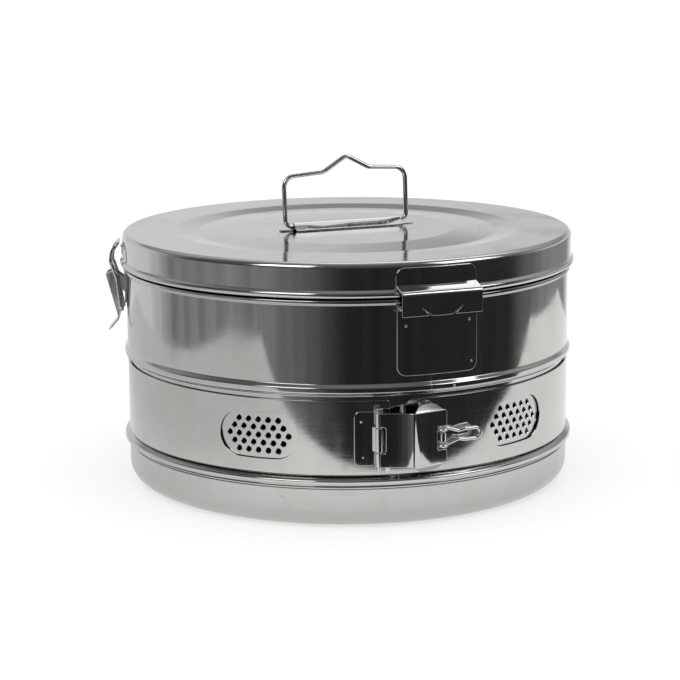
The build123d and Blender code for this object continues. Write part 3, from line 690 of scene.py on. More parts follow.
def steel(name, finish, rough=1.0, wave=1.0, grain="round", haze=0.5, lift=1.0, lines=4.0):
    """Polished steel: rolling lines, long shallow waves, haze and small handling marks."""
    gloss = finish.gloss * rough

    def shade(tree):
        place = object_place(tree)
        if grain == "round":
            x, y, z = axes(tree, place)
            arc = calc(tree, "MULTIPLY", calc(tree, "ARCTAN2", y, x), WALL_ARC)
            reach = length_of(tree, laid_flat(tree, place))
            lines_at = vector_of(tree, arc, reach, z)
        else:
            lines_at = place
        fine = noise(tree, stretched(tree, lines_at, GRAINS[grain]), 1.0, 3.0, 0.6)
        smudge = noise(tree, place, 34.0, 5.0, 0.62, 0.6)
        tone = mixed(
            tree, spread(tree, smudge, (0.42, 0.75), (0.0, haze)),
            times(finish.steel, lift), times(finish.stain, lift),
        )
        lined = spread(tree, fine, (0.3, 0.7), (gloss * 0.7, gloss * 1.3))
        hazed = spread(tree, smudge, (0.5, 0.8), (0.0, gloss * 1.2))
        # long waves, small pits and the rolling lines, each on top of the one before
        normal = None
        for strength, distance, height in (
            (1.0, finish.dents * wave, noise(tree, place, 15.0, 1.5, 0.4)),
            (0.25, 0.00001, noise(tree, place, 420.0, 2.0)),
            (0.3, lines * 0.000001, fine),
        ):
            inputs = {"Strength": strength, "Distance": distance, "Height": height}
            if normal is not None:
                inputs["Normal"] = normal
            normal = add(tree, "ShaderNodeBump", inputs).outputs[0]
        return add(
            tree, "ShaderNodeBsdfPrincipled",
            {
                "Base Color": tone, "Metallic": 1.0, "Normal": normal,
                "Roughness": calc(tree, "ADD", lined, hazed),
            },
        ).outputs[0]

    return surface(name, shade)


STEEL_KINDS = {
    "shell": ("polished body sheet", dict(lines=14.0)),
    "pan": ("drawn pan sheet", dict(rough=2.4, wave=0.5, haze=0.4)),
    "band": ("polished vent strip", dict(rough=1.4, wave=0.8, lines=14.0)),
    "lid": ("spun lid sheet", dict(rough=1.6, haze=0.7, lines=18.0)),
    "plate": ("polished hinge plate", dict(rough=0.8, wave=0.5, grain="across")),
    "latch": ("brushed latch plate", dict(rough=4.2, wave=0.2, grain="up", lift=1.2)),
    "wire": ("bright drawn wire", dict(rough=2.2, wave=0.0, grain="across", lift=1.2)),
    "pin": ("plain pin rod", dict(rough=3.0, wave=0.0, grain="up", lift=1.2)),
    "weld": ("weld mark", dict(rough=4.5, wave=0.0, grain="up", haze=0.9, lift=1.2)),
}
STEELS = {}


def finishes(context):
    """All the steels, made once."""
    if not STEELS:
        finish = context.scene.drum_finish
        for key, (name, settings) in STEEL_KINDS.items():
            STEELS[key] = steel(name, finish, **settings)
    return STEELS


class Maker:
    """What the steps share: each makes its pieces from the sizes and the steels."""

    def execute(self, context):
        self.make(millimetres(context), finishes(context))
        return {"FINISHED"}


# ---- drum body ----
def bead_corners(below, above, peak, height, half):
    """Corner points of a swaged bead between two stretches of wall."""
    crest = half * 0.42
    return [
        (below, height - half), (peak, height - crest), (peak, height + crest),
        (above, height + half),
    ]


BEAD_ROUNDING = [0.9, 1.3, 1.3, 0.9]


def shell_section(s):
    """Section of the body wall: outside line up, inside line down."""
    corners = [(s.neck, 13.0)]
    corners += bead_corners(s.neck, s.groove, 147.9, 29.4, 3.45)
    corners += bead_corners(s.groove, s.wall, 146.8, 86.0, 3.7)
    corners += bead_corners(s.wall, s.neck, 146.6, 139.7, 2.1)
    corners.append((s.neck, 155.0))
    rounding = [*BEAD_ROUNDING, *BEAD_ROUNDING, 0.5, 0.75, 0.75, 0.5]
    outside = rounded(corners, rounding, steps=7)
    inside = offset_line(outside, s.sheet)
    return outside + inside[::-1]


SHELL_POINTS = 2 + 12 * 8


def vent_fields(s):
    """Azimuths of the vent fields."""
    return [s.vent_first + field * s.vent_step for field in range(s.vent_fields)]


def vent_places(s):
    """Points of all the vent holes on the wall behind the band."""
    places = []
    for centre in vent_fields(s):
        for row, count in enumerate((5, 6, 7, 6, 5)):
            for column in range(count):
                along = (column - (count - 1) / 2) * s.vent_pitch
                azimuth = centre + math.degrees(along / s.groove)
                places.append(spot(s.groove, azimuth, VENT_HEIGHT + (2 - row) * s.vent_row))
    return places


def punch_through(outline, flared, depth=6.0, flare=0.35):
    """A punch that opens out at the sheet's outer face, pointing along +Y."""
    mesh = bmesh.new()
    rings = []
    for shape, level in (
        (outline, -depth), (outline, -flare), (flared, 0.02), (flared, depth),
    ):
        rings.append([mesh.verts.new((p[0], level, p[1])) for p in shape])
    count = len(outline)
    for low, high in zip(rings, rings[1:]):
        for i in range(count):
            j = (i + 1) % count
            mesh.faces.new((low[i], low[j], high[j], high[i]))
    mesh.faces.new(rings[0])
    mesh.faces.new(rings[-1][::-1])
    bmesh.ops.recalc_face_normals(mesh, faces=mesh.faces)
    return mesh


class DRUM_OT_wall(Maker, bpy.types.Operator):
    """Turns the body wall with its beads and punches its vent fields"""

    bl_idname = "drum.wall"
    bl_label = "Body wall"

    def make(self, s, steels):
        wall = turned("body_wall", shell_section(s), steels["shell"])
        hole = circle(s.vent_hole / 2, count=18)
        rim = circle(s.vent_hole / 2 + 0.42, count=18)
        punched(wall, vent_places(s), punch_through(hole, rim), steels["shell"])
        settle(wall, "drum_shell", "drum", "shell_steel", steels["shell"])
        # the lap of the wall's upright seam runs over the beads, below the hinge
        outside = shell_section(s)[:SHELL_POINTS]
        for name, low, high in (("wall_seam", 80.0, 137.4), ("foot_seam", 25.0, 33.4)):
            line = [point for point in outside if low <= point.y <= high]
            if name == "wall_seam":
                line = [*line, Vector((s.wall, high - 3.0, 0))]
            laid, whole = bent(line, radial_frame(SEAM_AZIMUTH))
            strip = prism(
                rectangle(0.5, whole, (0.0, whole / 2)), 0.12, laid, edge=0.0,
                start=-0.07, cuts=[(1, 0.2, min(whole, 12.0) - 0.2, 0.4)],
            )
            piece(name, [strip], None, "drum", "shell_steel", steels["weld"])


class DRUM_OT_base_pan(Maker, bpy.types.Operator):
    """Turns the base pan"""

    bl_idname = "drum.base_pan"
    bl_label = "Base pan"

    def make(self, s, steels):
        top, lip = 24.8, 0.3
        outside = rounded([(0, 0), (s.wall, 0), (s.wall, top)], s.pan_corner, steps=20)
        reach = s.wall - s.sheet
        inside = rounded(
            [(0, s.sheet), (reach, s.sheet), (reach, top)], s.pan_corner - s.sheet, steps=20
        )
        outside[-1].y -= lip
        section = outside + [Vector((s.wall - lip, top, 0))] + inside[::-1]
        pan = turned("base_pan_sheet", section, steels["pan"])
        settle(pan, "base_pan", "drum", "pan_steel", steels["pan"])


class DRUM_OT_vent_band(Maker, bpy.types.Operator):
    """Bends the turning vent band and punches its windows"""

    bl_idname = "drum.vent_band"
    bl_label = "Vent band"

    def make(self, s, steels):
        material = steels["band"]
        inner, sheet, bottom, top = 144.1, 0.8, 33.7, 79.6
        half = math.radians(353.0) / 2 * inner
        middle = (0, (top + bottom) / 2)
        outline = closed_round(rectangle(2 * half, top - bottom, middle), 2.0)
        strip = prism(
            outline, sheet, on_wall(inner, 171.5), edge=0.2,
            cuts=[(0, -half + 3, half - 3, 1.6), (1, bottom + 0.5, top - 0.5, 40.0)],
        )
        kind = ("vent_band", "band", "band_steel", material)
        band = piece("vent_band_strip", [strip], *kind, even=False)
        window = stadium(s.window_width, s.window_height)
        flared = stadium(s.window_width + 0.6, s.window_height + 0.6)
        places = [spot(inner + sheet, azimuth, VENT_HEIGHT) for azimuth in vent_fields(s)]
        punched(band, places, punch_through(window, flared), material)
        settle(band, *kind, even=False)


def stadium(width, height, steps=16):
    """Outline of a slot with round ends."""
    radius = height / 2
    reach = width / 2 - radius
    outline = []
    for side, start in ((1, -90.0), (-1, 90.0)):
        for step in range(steps + 1):
            turn = math.radians(start + 180.0 * step / steps)
            across = side * reach + radius * math.cos(turn)
            outline.append((across, radius * math.sin(turn)))
    return outline


# ---- lid ----
def lid_section(s):
    """Section of the lid: the outer face up the skirt and in to the centre, and back."""
    rim_centre, rim_reach, rim_half = 144.3, 1.9, 2.1
    outside = [
        Vector((s.lid + rim_reach * math.cos(t), rim_centre + rim_half * math.sin(t), 0))
        for t in (math.radians(a) for a in range(-96, 76, 9))
    ]
    top = [(s.lid, 163.5), (112.0, 163.3), (98.0, 161.6), (70.0, 163.1), (0.0, 163.1)]
    foot = (s.lid, rim_centre + rim_half + 0.6)
    outside += rounded([foot, *top], [s.lid_shoulder, 30.0, 20.0, 60.0], steps=12)
    under = [(radius, height - s.sheet) for radius, height in top[:0:-1]]
    skirt = [
        (s.lid - s.sheet, 163.5 - s.sheet), (s.lid - s.sheet, rim_centre - rim_half + 0.3)
    ]
    bends = [60.0, 20.0, 30.0, s.lid_shoulder - s.sheet]
    inside = rounded([*under, *skirt], bends, steps=12)
    return outside + inside


class DRUM_OT_lid(Maker, bpy.types.Operator):
    """Turns the lid with its rolled rim and raised ring"""

    bl_idname = "drum.lid"
    bl_label = "Lid"

    def make(self, s, steels):
        lid = turned("lid_sheet", lid_section(s), steels["lid"])
        settle(lid, "lid_shell", "lid", "lid_steel", steels["lid"])


class DRUM_OT_handle(Maker, bpy.types.Operator):
    """Bends the wire handle and the strap that holds it"""

    bl_idname = "drum.handle"
    bl_label = "Handle"

    def make(self, s, steels):
        axis, disc, strap = 165.8, 163.2, 0.9
        # the wire has been bent a little out of true by hand
        line = [
            (25.5, 0, axis), (42.6, 0, axis), (41.6, 0, axis + 34.8),
            (15.6, 0, axis + 36.2), (0, 0, axis + 44.5), (-15.8, 0, axis + 34.5),
            (-43.8, 0, axis + 32.4), (-42.6, 0, axis), (-25.5, 0, axis),
        ]
        bends = [4.5, 7.5, 9.0, 5.0, 9.0, 7.5, 4.5]
        wire(
            "handle_wire", rounded(line, bends, steps=10), s.handle_wire,
            "handle_bail", "handle", "handle_wire", steels["wire"], sides=24,
        )
        # the saddle: one foot, up over the handle's ends, and down to the other foot
        crown = s.handle_wire / 2 + WIRE_PLAY + strap
        foot, edge, rise = 6.2, 8.0, axis - disc
        lean = math.atan2(rise, foot) + math.asin((crown - strap) / math.hypot(rise, foot))
        across = [
            (-edge, disc), (-foot, disc), (0.0, disc + foot * math.tan(lean)), (foot, disc),
            (edge, disc),
        ]
        laid, whole = bent(rounded(across, [1.0, crown - strap, 1.0]), flat_plan())
        outline = closed_round(rectangle(75.0, whole, (0, whole / 2)), 1.2)
        cuts = [(1, 0.8, whole - 0.8, 0.35)]
        parts = [prism(outline, strap, laid, edge=0.2, cuts=cuts)]
        for side in (-1, 1):
            tab = closed_round(rectangle(10.0, 4.6, (side * 42.0, 0.0)), 1.6)
            parts.append(prism(tab, strap, flat_plan(disc)))
        piece(
            "handle_saddle", parts, "handle_strap", "lid", "strap_steel", steels["plate"]
        )


# ---- lid hinge ----
HINGE_PIVOT = (-151.0, 135.3)  # y and z of the pin


def knuckle(first, last, radius=2.7, hole=1.56, count=28, edge=0.2):
    """A tube along X round the hinge pin."""
    mesh = bmesh.new()
    loops = []
    for x, r in (
        (first, hole), (first, radius - edge), (first + edge, radius),
        (last - edge, radius), (last, radius - edge), (last, hole),
    ):
        loops.append([
            mesh.verts.new((x, p[0], p[1])) for p in circle(r, HINGE_PIVOT, count)
        ])
    for a, b in zip(loops, loops[1:] + loops[:1]):
        for i in range(count):
            j = (i + 1) % count
            mesh.faces.new((a[i], a[j], b[j], b[i]))
    bmesh.ops.recalc_face_normals(mesh, faces=mesh.faces)
    return mesh


class DRUM_OT_lid_hinge(Maker, bpy.types.Operator):
    """Makes the two hinge plates, the hood and the pin"""

    bl_idname = "drum.lid_hinge"
    bl_label = "Lid hinge"

    def make(self, s, steels):
        half, pin, reach = 26.2, 1.5, 24.6
        # lower plate on the body, its knuckles on webs at both ends
        inner = s.wall + SEAT
        parts = [wall_plate(
            2 * half, 43.0, (0, 115.5), [5.5, 5.5, 0.6, 0.6], on_wall(inner, 0.0), 1.2
        )]
        for side in (-1, 1):
            first, last = sorted((side * 9.9, side * 24.5))
            parts.append(knuckle(first, last))
            parts.append(prism(
                rectangle(last - first, 5.2, ((first + last) / 2, -146.0)), 1.4,
                lambda u, v, w: Vector((u, min(v, -math.sqrt(inner ** 2 - u * u)), w)),
                cuts=[(0, first + 0.5, last - 0.5, 2.0)], start=135.5,
            ))
        piece(
            "hinge_plate_lower", parts, "hinge_lower_leaf", "drum", "hinge_steel",
            steels["plate"],
        )
        # upper plate on the skirt
        skirt, aside = s.lid + SEAT, -1.4
        parts = [wall_plate(
            2 * half, 13.0, (aside, 153.5), [0.6, 0.6, 5.5, 5.5], on_wall(skirt, 0.0)
        )]
        # hood: from the skirt out over the pin and down in front of it, its tongue slit
        # free; the tongue's foot still clears the lower plate with the lid wide open
        path = rounded([(-145.0, 149.8), (-155.0, 146.3), (-155.0, 131.8)], 3.0)
        laid, whole = bent(path, flat_plan())
        slit = [(8.3, whole), (11.9, whole - 3.6), (6.9, whole)]
        tongue_edge = [(3.6, whole + 0.2), (0.0, whole + 0.3), (-3.6, whole + 0.2)]
        edge_line = [*slit, *tongue_edge, *[(-u, v) for u, v in slit[::-1]]]
        outline = [(-half, 0.0), (half, 0.0), (half, whole), *edge_line, (-half, whole)]

        def hood_place(u, v, w):
            point = laid(u + aside, v, w)
            limit = -math.sqrt((skirt + 0.5) ** 2 - (u + aside) ** 2)
            point.y = min(point.y, limit)
            return point

        parts += [
            prism(
                outline, PLATE, hood_place,
                cuts=[(0, -half + 1, half - 1, 2.0), (1, 4.0, 14.0, 0.6)],
            ),
            knuckle(-9.6, 9.6),
            prism(
                rectangle(19.2, 4.6, (0, -152.4)), PLATE, flat_plan(), edge=0.2, start=132.6
            ),
        ]
        piece(
            "hinge_plate_upper", parts, "hinge_upper_leaf", "lid", "hinge_steel",
            steels["plate"],
        )
        along = sideways(flat_plan())
        rod = [prism(circle(pin, HINGE_PIVOT), 2 * reach, along, edge=0.0, start=-reach)]
        for start in (-reach - 0.7, reach):
            rod.append(prism(
                circle(pin + 0.6, HINGE_PIVOT), 0.7, along, edge=0.25, start=start
            ))
        piece("hinge_rod", rod, "hinge_pin", "drum", "pin_steel", steels["pin"])


# ---- band clasp ----
# the pin's radius and azimuth, and heights of the cover and of its notch
CLASP_PIN = (149.6, -14.85)
CLASP_SPAN = (39.7, 73.1)
NOTCH_SPAN = (48.4, 62.8)


def band_leaf(span, middle, height, radii, pin, knuckle_radius, level, rise):
    """A plate on the band between two azimuths, with the web and knuckle at its end."""
    start, end = span
    width = math.radians(end - start) * BAND_FACE
    leaf = wall_plate(
        width, height, (0, middle), radii, on_wall(BAND_FACE, (start + end) / 2), step=1.5
    )
    radius, azimuth = pin
    web = [
        spot(BAND_FACE + 0.3, end - 0.7)[:2],
        spot(radius + knuckle_radius / 2, azimuth)[:2],
        spot(radius - knuckle_radius / 2, azimuth)[:2],
        spot(BAND_FACE + 0.3, end)[:2],
    ]
    barrel = circle(knuckle_radius, spot(*pin))
    return [
        leaf, prism(web, rise, flat_plan(level), edge=0.15),
        prism(barrel, rise, flat_plan(level), edge=0.3),
    ]


class DRUM_OT_band_clasp(Maker, bpy.types.Operator):
    """Makes the clasp: its plate on the band, its pin and the folded cover"""

    bl_idname = "drum.band_clasp"
    bl_label = "Band clasp"

    def make(self, s, steels):
        low, high = CLASP_SPAN
        pin_at, ridge_azimuth, barrel = spot(*CLASP_PIN), -7.35, 2.2
        parts = band_leaf(
            (-20.6, -15.8), (low + high) / 2, high - low, [3.5, 0.5, 0.5, 3.5], CLASP_PIN,
            barrel, 48.9, 15.0,
        )
        piece(
            "clasp_plate", parts, "clasp_band_leaf", "band", "clasp_steel", steels["plate"]
        )
        rod = prism(circle(1.2, pin_at, 20), 37.1, flat_plan(36.1), edge=0.2)
        head = prism(rectangle(3.6, 3.6, pin_at), 2.8, flat_plan(73.2), edge=0.4)
        piece("clasp_rod", [rod, head], "clasp_pin", "band", "pin_steel", steels["pin"])

        # cover: one strip folded at its ridge, hollow beside it and notched for the catch
        line = [
            spot(151.8, CLASP_PIN[1]), spot(156.6, ridge_azimuth), spot(151.4, 1.25),
        ]
        ridge, out_at = line[1], spot(1.0, ridge_azimuth)
        ways = [(b - a).normalized() for a, b in zip(line, line[1:])]
        hollow = ((9.0, 0.95), (2.5, 0.6))
        left = [ridge - ways[0] * back - out_at * dip for back, dip in hollow]
        right = [ridge + ways[1] * on - out_at * dip for on, dip in hollow[::-1]]
        folded = [line[0], *left, ridge, *right, line[2]]
        path = rounded(folded, [60.0, 24.0, 0.8, 24.0, 60.0])
        # bent over its (u, v) plan, so that its width stands upright
        laid, whole = bent(path, lambda u, v, w: Vector((v, w, u)))
        notch, slot, slot_low, slot_high = 6.6, 3.7, 48.3, 64.5
        outline = closed_round(
            [
                (low, 0.0), (slot_low, 0.0), (slot_low, slot), (slot_high, slot),
                (slot_high, 0.0), (high, 0.0), (high, whole), (NOTCH_SPAN[1], whole),
                (NOTCH_SPAN[1], whole - notch), (NOTCH_SPAN[0], whole - notch),
                (NOTCH_SPAN[0], whole), (low, whole),
            ],
            [0.5, 0.5, 1.5, 1.5, 0.5, 0.5, 1.5, 0.5, 0.5, 0.5, 0.5, 1.5],
        )
        first_bend = (path[1] - path[0]).length
        last_bend = whole - (path[-1] - path[-2]).length
        cuts = [(1, first_bend - 1.0, last_bend + 1.0, 0.45)]
        parts = [prism(outline, PLATE, laid, cuts=cuts)]
        # the two flanges bow out over the ends of the fold's right side
        leg, inward = ways[1], Vector((-ways[1].y, ways[1].x, 0))
        lean = math.radians(42.0)
        first, last, bow, steps = 1.0, (line[2] - ridge).length - 2.5, 5.4, 16
        arc = []
        for step in range(steps + 1):
            share = step / steps
            rise = bow * (1 - abs(2 * share - 1) ** 2.6)
            arc.append((first + (last - first) * share, rise))
        shape = [(first, -0.5), *arc, (last, -0.5)]
        for level, rise in ((high, 1), (low, -1)):
            way = inward * math.sin(lean) + Vector((0, 0, rise * math.cos(lean)))
            root = ridge + inward * 0.5 + Vector((0, 0, level))
            parts.append(prism(
                shape, 0.9,
                lambda u, v, w, root=root, way=way: (
                    root + leg * u + way * v + leg.cross(way) * w
                ),
                start=-0.45,
            ))
        for first, last in ((low, 48.6), (64.2, high)):
            parts.append(prism(
                circle(barrel, pin_at), last - first, flat_plan(first), edge=0.3
            ))
        piece(
            "clasp_cover_plate", parts, "clasp_cover", "clasp", "clasp_steel",
            steels["plate"],
        )


# ---- wire catch ----
CATCH_PIN = (150.4, 0.3)
CATCH_HEIGHT = 55.7


class DRUM_OT_wire_catch(Maker, bpy.types.Operator):
    """Makes the catch on the band's free end: bracket, pin and bent wire"""

    bl_idname = "drum.wire_catch"
    bl_label = "Wire catch"

    def make(self, s, steels):
        pin = 1.0
        pin_at = spot(*CATCH_PIN)
        parts = band_leaf(
            (-4.7, 0.3), CATCH_HEIGHT, 16.2, 1.2, CATCH_PIN, 2.1, CATCH_HEIGHT - 2.7, 5.4
        )
        piece(
            "catch_plate", parts, "catch_bracket", "band", "clasp_steel", steels["plate"]
        )
        rod = prism(circle(pin, pin_at, 20), 13.4, flat_plan(CATCH_HEIGHT - 6.7), edge=0.25)
        piece("catch_rod", [rod], "catch_pin", "band", "pin_steel", steels["pin"])

        eye = pin + WIRE_PLAY + s.catch_wire / 2
        turn = math.radians(CATCH_PIN[1])
        along = Vector((math.cos(turn), math.sin(turn), 0))
        outward = spot(1.0, CATCH_PIN[1])
        centre = pin_at + Vector((0, 0, CATCH_HEIGHT))

        def put(x, y):
            return centre + along * x + Vector((0, 0, y)) - outward * eye

        def eye_turn(side):
            ring = []
            for step in range(22):
                angle = math.radians(-340.0 + 340.0 * step / 21)
                reach = along * (eye * math.sin(angle)) - outward * (eye * math.cos(angle))
                ring.append(centre + Vector((0, 0, side * 5.0)) + reach)
            return ring

        tip, bow = 22.7, 3.3
        arm = rounded(
            [(0.8, 5.0), (4.0, 5.0), (11.5, 2.5), (15.5, bow), (tip, bow)], [2.0, 2.4, 2.4],
            steps=6,
        )
        loop = []
        for step in range(1, 14):
            angle = math.radians(90.0 - 180.0 * step / 14)
            loop.append(put(tip + bow * math.cos(angle), bow * math.sin(angle)))
        upper = [put(p.x, p.y) for p in arm]
        lower = [put(p.x, -p.y) for p in arm]
        line = eye_turn(1) + upper + loop + lower[::-1] + eye_turn(-1)[::-1]
        wire(
            "catch_wire_loop", line, s.catch_wire, "wire_catch", "catch", "catch_wire",
            steels["wire"], sides=18,
        )


# ---- side latches ----
# radius and height of the lever's pin and of the hook's ends
LATCH_PIVOT = (153.9, 134.5)
HOOK_PIVOT = (148.6, 112.0)


class DRUM_OT_side_latches(Maker, bpy.types.Operator):
    """Makes both side latches: bracket, pin, lever, wire hook and lid catch"""

    bl_idname = "drum.side_latches"
    bl_label = "Side latches"

    def make(self, s, steels):
        for side, azimuth in LATCH_AZIMUTHS.items():
            self.make_one(s, steels, side, azimuth)

    def make_one(self, s, steels, side, azimuth):
        place = radial_frame(azimuth)
        out, up = LATCH_PIVOT
        # bracket: a plate on the wall with an ear at each side
        ear = [
            (145.6, up - 12.0), (out + 1.4, up - 2.2),
            *[
                (out + 2.6 * math.cos(a), up + 2.6 * math.sin(a))
                for a in (math.radians(d) for d in range(-50, 141, 19))
            ],
            (out - 1.4, up + 2.2), (145.6, up - 3.0),
        ]
        parts = [wall_plate(15.2, 21.5, (0, 126.25), 1.5, on_wall(s.wall + SEAT, azimuth))]
        parts += [prism(ear, PLATE, sideways(place, offset)) for offset in (-6.4, 5.4)]
        piece(
            f"latch_base_{side}", parts, f"latch_bracket_{side}", "drum", "latch_steel",
            steels["latch"],
        )
        rod = prism(
            circle(1.2, LATCH_PIVOT, 20), 15.2, sideways(place), edge=0.3, start=-7.6
        )
        piece(
            f"latch_rod_{side}", [rod], f"latch_pin_{side}", "drum", "pin_steel",
            steels["pin"],
        )
        # lever: a bent web between two cheeks
        path = rounded(
            [(157.4, 97.8), (150.6, 105.4), (151.2, 108.6), (158.2, 135.2)], [3.0, 6.0]
        )
        laid, whole = bent(path, place)
        outline = closed_round(rectangle(15.4, whole, (0, whole / 2)), [3.2, 3.2, 1.2, 1.2])
        parts = [prism(outline, PLATE, laid, edge=0.3, cuts=[(1, 6.0, 16.0, 0.6)])]
        cheek = closed_round(
            [
                (157.7, 135.2), (153.9, 137.1), (152.2, 136.4), (151.3, 134.5),
                (146.5, 112.0), (147.1, 110.5), (148.6, 109.9), (150.7, 108.6),
            ],
            [0.4, 1.0, 1.4, 1.6, 1.2, 1.2, 1.2, 0.4], steps=4,
        )
        parts += [prism(cheek, PLATE, sideways(place, offset)) for offset in (-7.7, 6.7)]
        piece(
            f"latch_lever_plate_{side}", parts, f"latch_lever_{side}", f"lever_{side}",
            "latch_steel", steels["latch"],
        )
        # hook: a wire from one side of the lever over the lid's lip to the other side
        arm = 9.2
        leg = [
            (5.7, *HOOK_PIVOT), (arm, *HOOK_PIVOT), (arm, 150.6, 132.0),
            (arm, 154.7, 143.5), (arm, 153.6, 150.0), (arm, 149.8, 155.3),
        ]
        line = leg + [(-u, r, z) for u, r, z in leg[::-1]]
        bends = [1.6, 14.0, 5.0, 4.0, 2.2]
        points = rounded([place(*p) for p in line], bends + bends[::-1], steps=7)
        wire(
            f"latch_hook_{side}", points, s.hook_wire, f"latch_bail_{side}",
            f"hook_{side}", "catch_wire", steels["wire"],
        )
        # lid catch: a plate on the skirt with a rolled lip that follows the skirt
        plate = wall_plate(
            12.0, 6.4, (0, 150.6), 0.8, on_wall(s.lid + SEAT, azimuth), 0.7, inset=0.5
        )
        roll_at = 147.6
        roll = prism(
            circle(0.7, (roll_at, 153.1), 14), 11.6, sideways(place), edge=0.2, start=-5.8
        )
        outward = spot(1.0, azimuth)
        for vertex in roll.verts:
            flat = Vector((vertex.co.x, vertex.co.y, 0))
            along = (flat - outward * flat.dot(outward)).length
            vertex.co -= outward * (roll_at - math.sqrt(roll_at ** 2 - along ** 2))
        piece(
            f"lid_catch_lip_{side}", [plate, roll], f"lid_catch_{side}", "lid",
            "latch_steel", steels["latch"],
        )


class DRUM_OT_weld_dots(Maker, bpy.types.Operator):
    """Marks the spot welds of the hinge plates, the clasp and the side latches"""

    bl_idname = "drum.weld_dots"
    bl_label = "Weld dots"

    def make(self, s, steels):
        # radius, azimuth and height of each mark
        drum = [
            (146.3, 8.1, 125.8), (146.3, 8.8, 99.9), (146.3, -8.2, 124.6),
            (146.8, 4.0, 86.0), (147.9, 3.6, 29.8), (145.0, -38.0, 19.2),
        ]
        for azimuth in LATCH_AZIMUTHS.values():
            drum += [
                (146.1, azimuth + way, height)
                for way in (-1.2, 1.2) for height in (119.0, 124.0)
            ]
        band = [
            (146.0, -18.9, 67.0), (146.0, -18.5, 44.9), (146.0, -3.4, 61.5),
            (146.0, -3.4, 51.5),
        ]
        groups = (("drum", "shell_steel", drum), ("band", "clasp_steel", band))
        for seed, (body, slot, places) in enumerate(groups, start=11):
            marks = point_object(f"weld_dots_{body}", [spot(*p) for p in places])
            grown(marks, tree_named("spots"), {
                "Diameter": s.weld_dot * MM, "Seed": seed, "Material": steels["weld"],
            })
            settle(marks, None, body, slot, steels["weld"])


# ---- stage ----
CAMERA_AZIMUTH = -22.05


def emission(tree, colour, strength):
    """A plain emitting shader."""
    inputs = {"Color": (*colour, 1.0), "Strength": strength}
    return add(tree, "ShaderNodeEmission", inputs).outputs[0]


def glow(name, strength, soft):
    """A plain white emitting surface whose edges fade out."""

    def shade(tree):
        uv = add(tree, "ShaderNodeTexCoord").outputs["UV"]
        fades = []
        for part in axes(tree, uv)[:2]:
            far = calc(tree, "ABSOLUTE", calc(tree, "SUBTRACT", part, 0.5))
            fades.append(spread(tree, far, (0.5 - soft, 0.5), (1.0, 0.0), smooth=True))
        clear = add(tree, "ShaderNodeBsdfTransparent").outputs[0]
        return add(
            tree, "ShaderNodeMixShader",
            {
                0: calc(tree, "MULTIPLY", *fades), 1: clear,
                2: emission(tree, (1.0, 1.0, 1.0), strength),
            },
        ).outputs[0]

    return surface(name, shade)


def reflection_only(thing):
    """Leaves a stage object to be seen in reflections alone."""
    thing.visible_camera = False
    thing.visible_diffuse = False
    thing.visible_shadow = False


def card(name, azimuths, elevations, strength, soft, distance=3.0, steps=24):
    """A studio card for reflections, placed by its angles from the camera's side."""
    points, faces, uvs = [], [], []
    for row in range(steps + 1):
        for column in range(steps + 1):
            across, up = column / steps, row / steps
            azimuth = azimuths[0] + (azimuths[1] - azimuths[0]) * across + CAMERA_AZIMUTH
            lift = math.radians(elevations[0] + (elevations[1] - elevations[0]) * up)
            height = distance * math.sin(lift) + 0.1
            points.append(spot(distance * math.cos(lift), azimuth, height))
            uvs.append((across, up))
            if row < steps and column < steps:
                i = row * (steps + 1) + column
                faces.append((i, i + 1, i + steps + 2, i + steps + 1))
    data = bpy.data.meshes.new(name)
    data.from_pydata(points, [], faces)
    layer = data.uv_layers.new(name="UVMap")
    for loop in data.loops:
        layer.data[loop.index].uv = uvs[loop.vertex_index]
    data.materials.append(glow(name, strength, soft))
    thing = new_object(name, data)
    reflection_only(thing)
    return thing


def floor_piece(name, outline, level, material):
    """A flat piece of floor from its outline in the camera's plan."""
    turn = Matrix.Rotation(math.radians(CAMERA_AZIMUTH), 3, "Z")
    data = bpy.data.meshes.new(name)
    points = [turn @ Vector((x, y, level)) for x, y in outline]
    data.from_pydata(points, [], [tuple(range(len(outline)))])
    data.materials.append(material)
    thing = new_object(name, data)
    return thing


def floor_material(finish):
    """Pale board that is lit well enough to show no more than a faint shadow."""

    def shade(tree):
        tooth = noise(tree, object_place(tree), 900.0, 2.0)
        return add(
            tree, "ShaderNodeBsdfPrincipled",
            {
                "Base Color": mixed(
                    tree, tooth, times(finish.floor, 0.5), times(finish.floor, 0.49)
                ),
                "Roughness": 0.9, "Specular IOR Level": 0.0,
                "Emission Color": (1.0, 1.0, 1.0, 1.0), "Emission Strength": 0.56,
            },
        ).outputs[0]

    return surface("pale floor", shade)


def from_camera(tree, vector):
    """The vector's parts with the camera's side turned to -Y."""
    node = add(
        tree, "ShaderNodeVectorRotate",
        {"Vector": vector, "Angle": math.radians(-CAMERA_AZIMUTH)}, rotation_type="Z_AXIS",
    )
    return axes(tree, node.outputs[0])


def painted_shade_sheet():
    """The white sheet as the steel sees it, a glowing sheet with painted shade: a painted
    falloff of light that leaves it duller to the left, and a painted contact shadow close
    to the drum.
    """

    def shade(tree):
        place = object_place(tree)
        across, reach = from_camera(tree, place)[0], length_of(tree, place)
        # painted falloff of light: the glow dims towards the left
        aside = spread(tree, across, (-0.34, -0.06), (0.67, 0.95), smooth=True)
        # painted contact shadow: the glow dims close to the drum
        near = spread(tree, reach, (0.145, 0.25), (0.78, 1.0), smooth=True)
        return emission(tree, (1.0, 0.985, 0.965), calc(tree, "MULTIPLY", aside, near))

    return surface("white sheet", shade)


# A plain neutral room for the steel, as (angle, brightness). Round it from the left: light
# behind, a grey wall, the dark end where the camera stands, a grey wall and light behind.
ROOM_ROUND = (
    (-180, 0.85), (-120, 0.75), (-100, 0.3), (-40, 0.25), (0, 0.02), (90, 0.03), (120, 0.3),
    (150, 0.3), (165, 1.0), (180, 1.0),
)
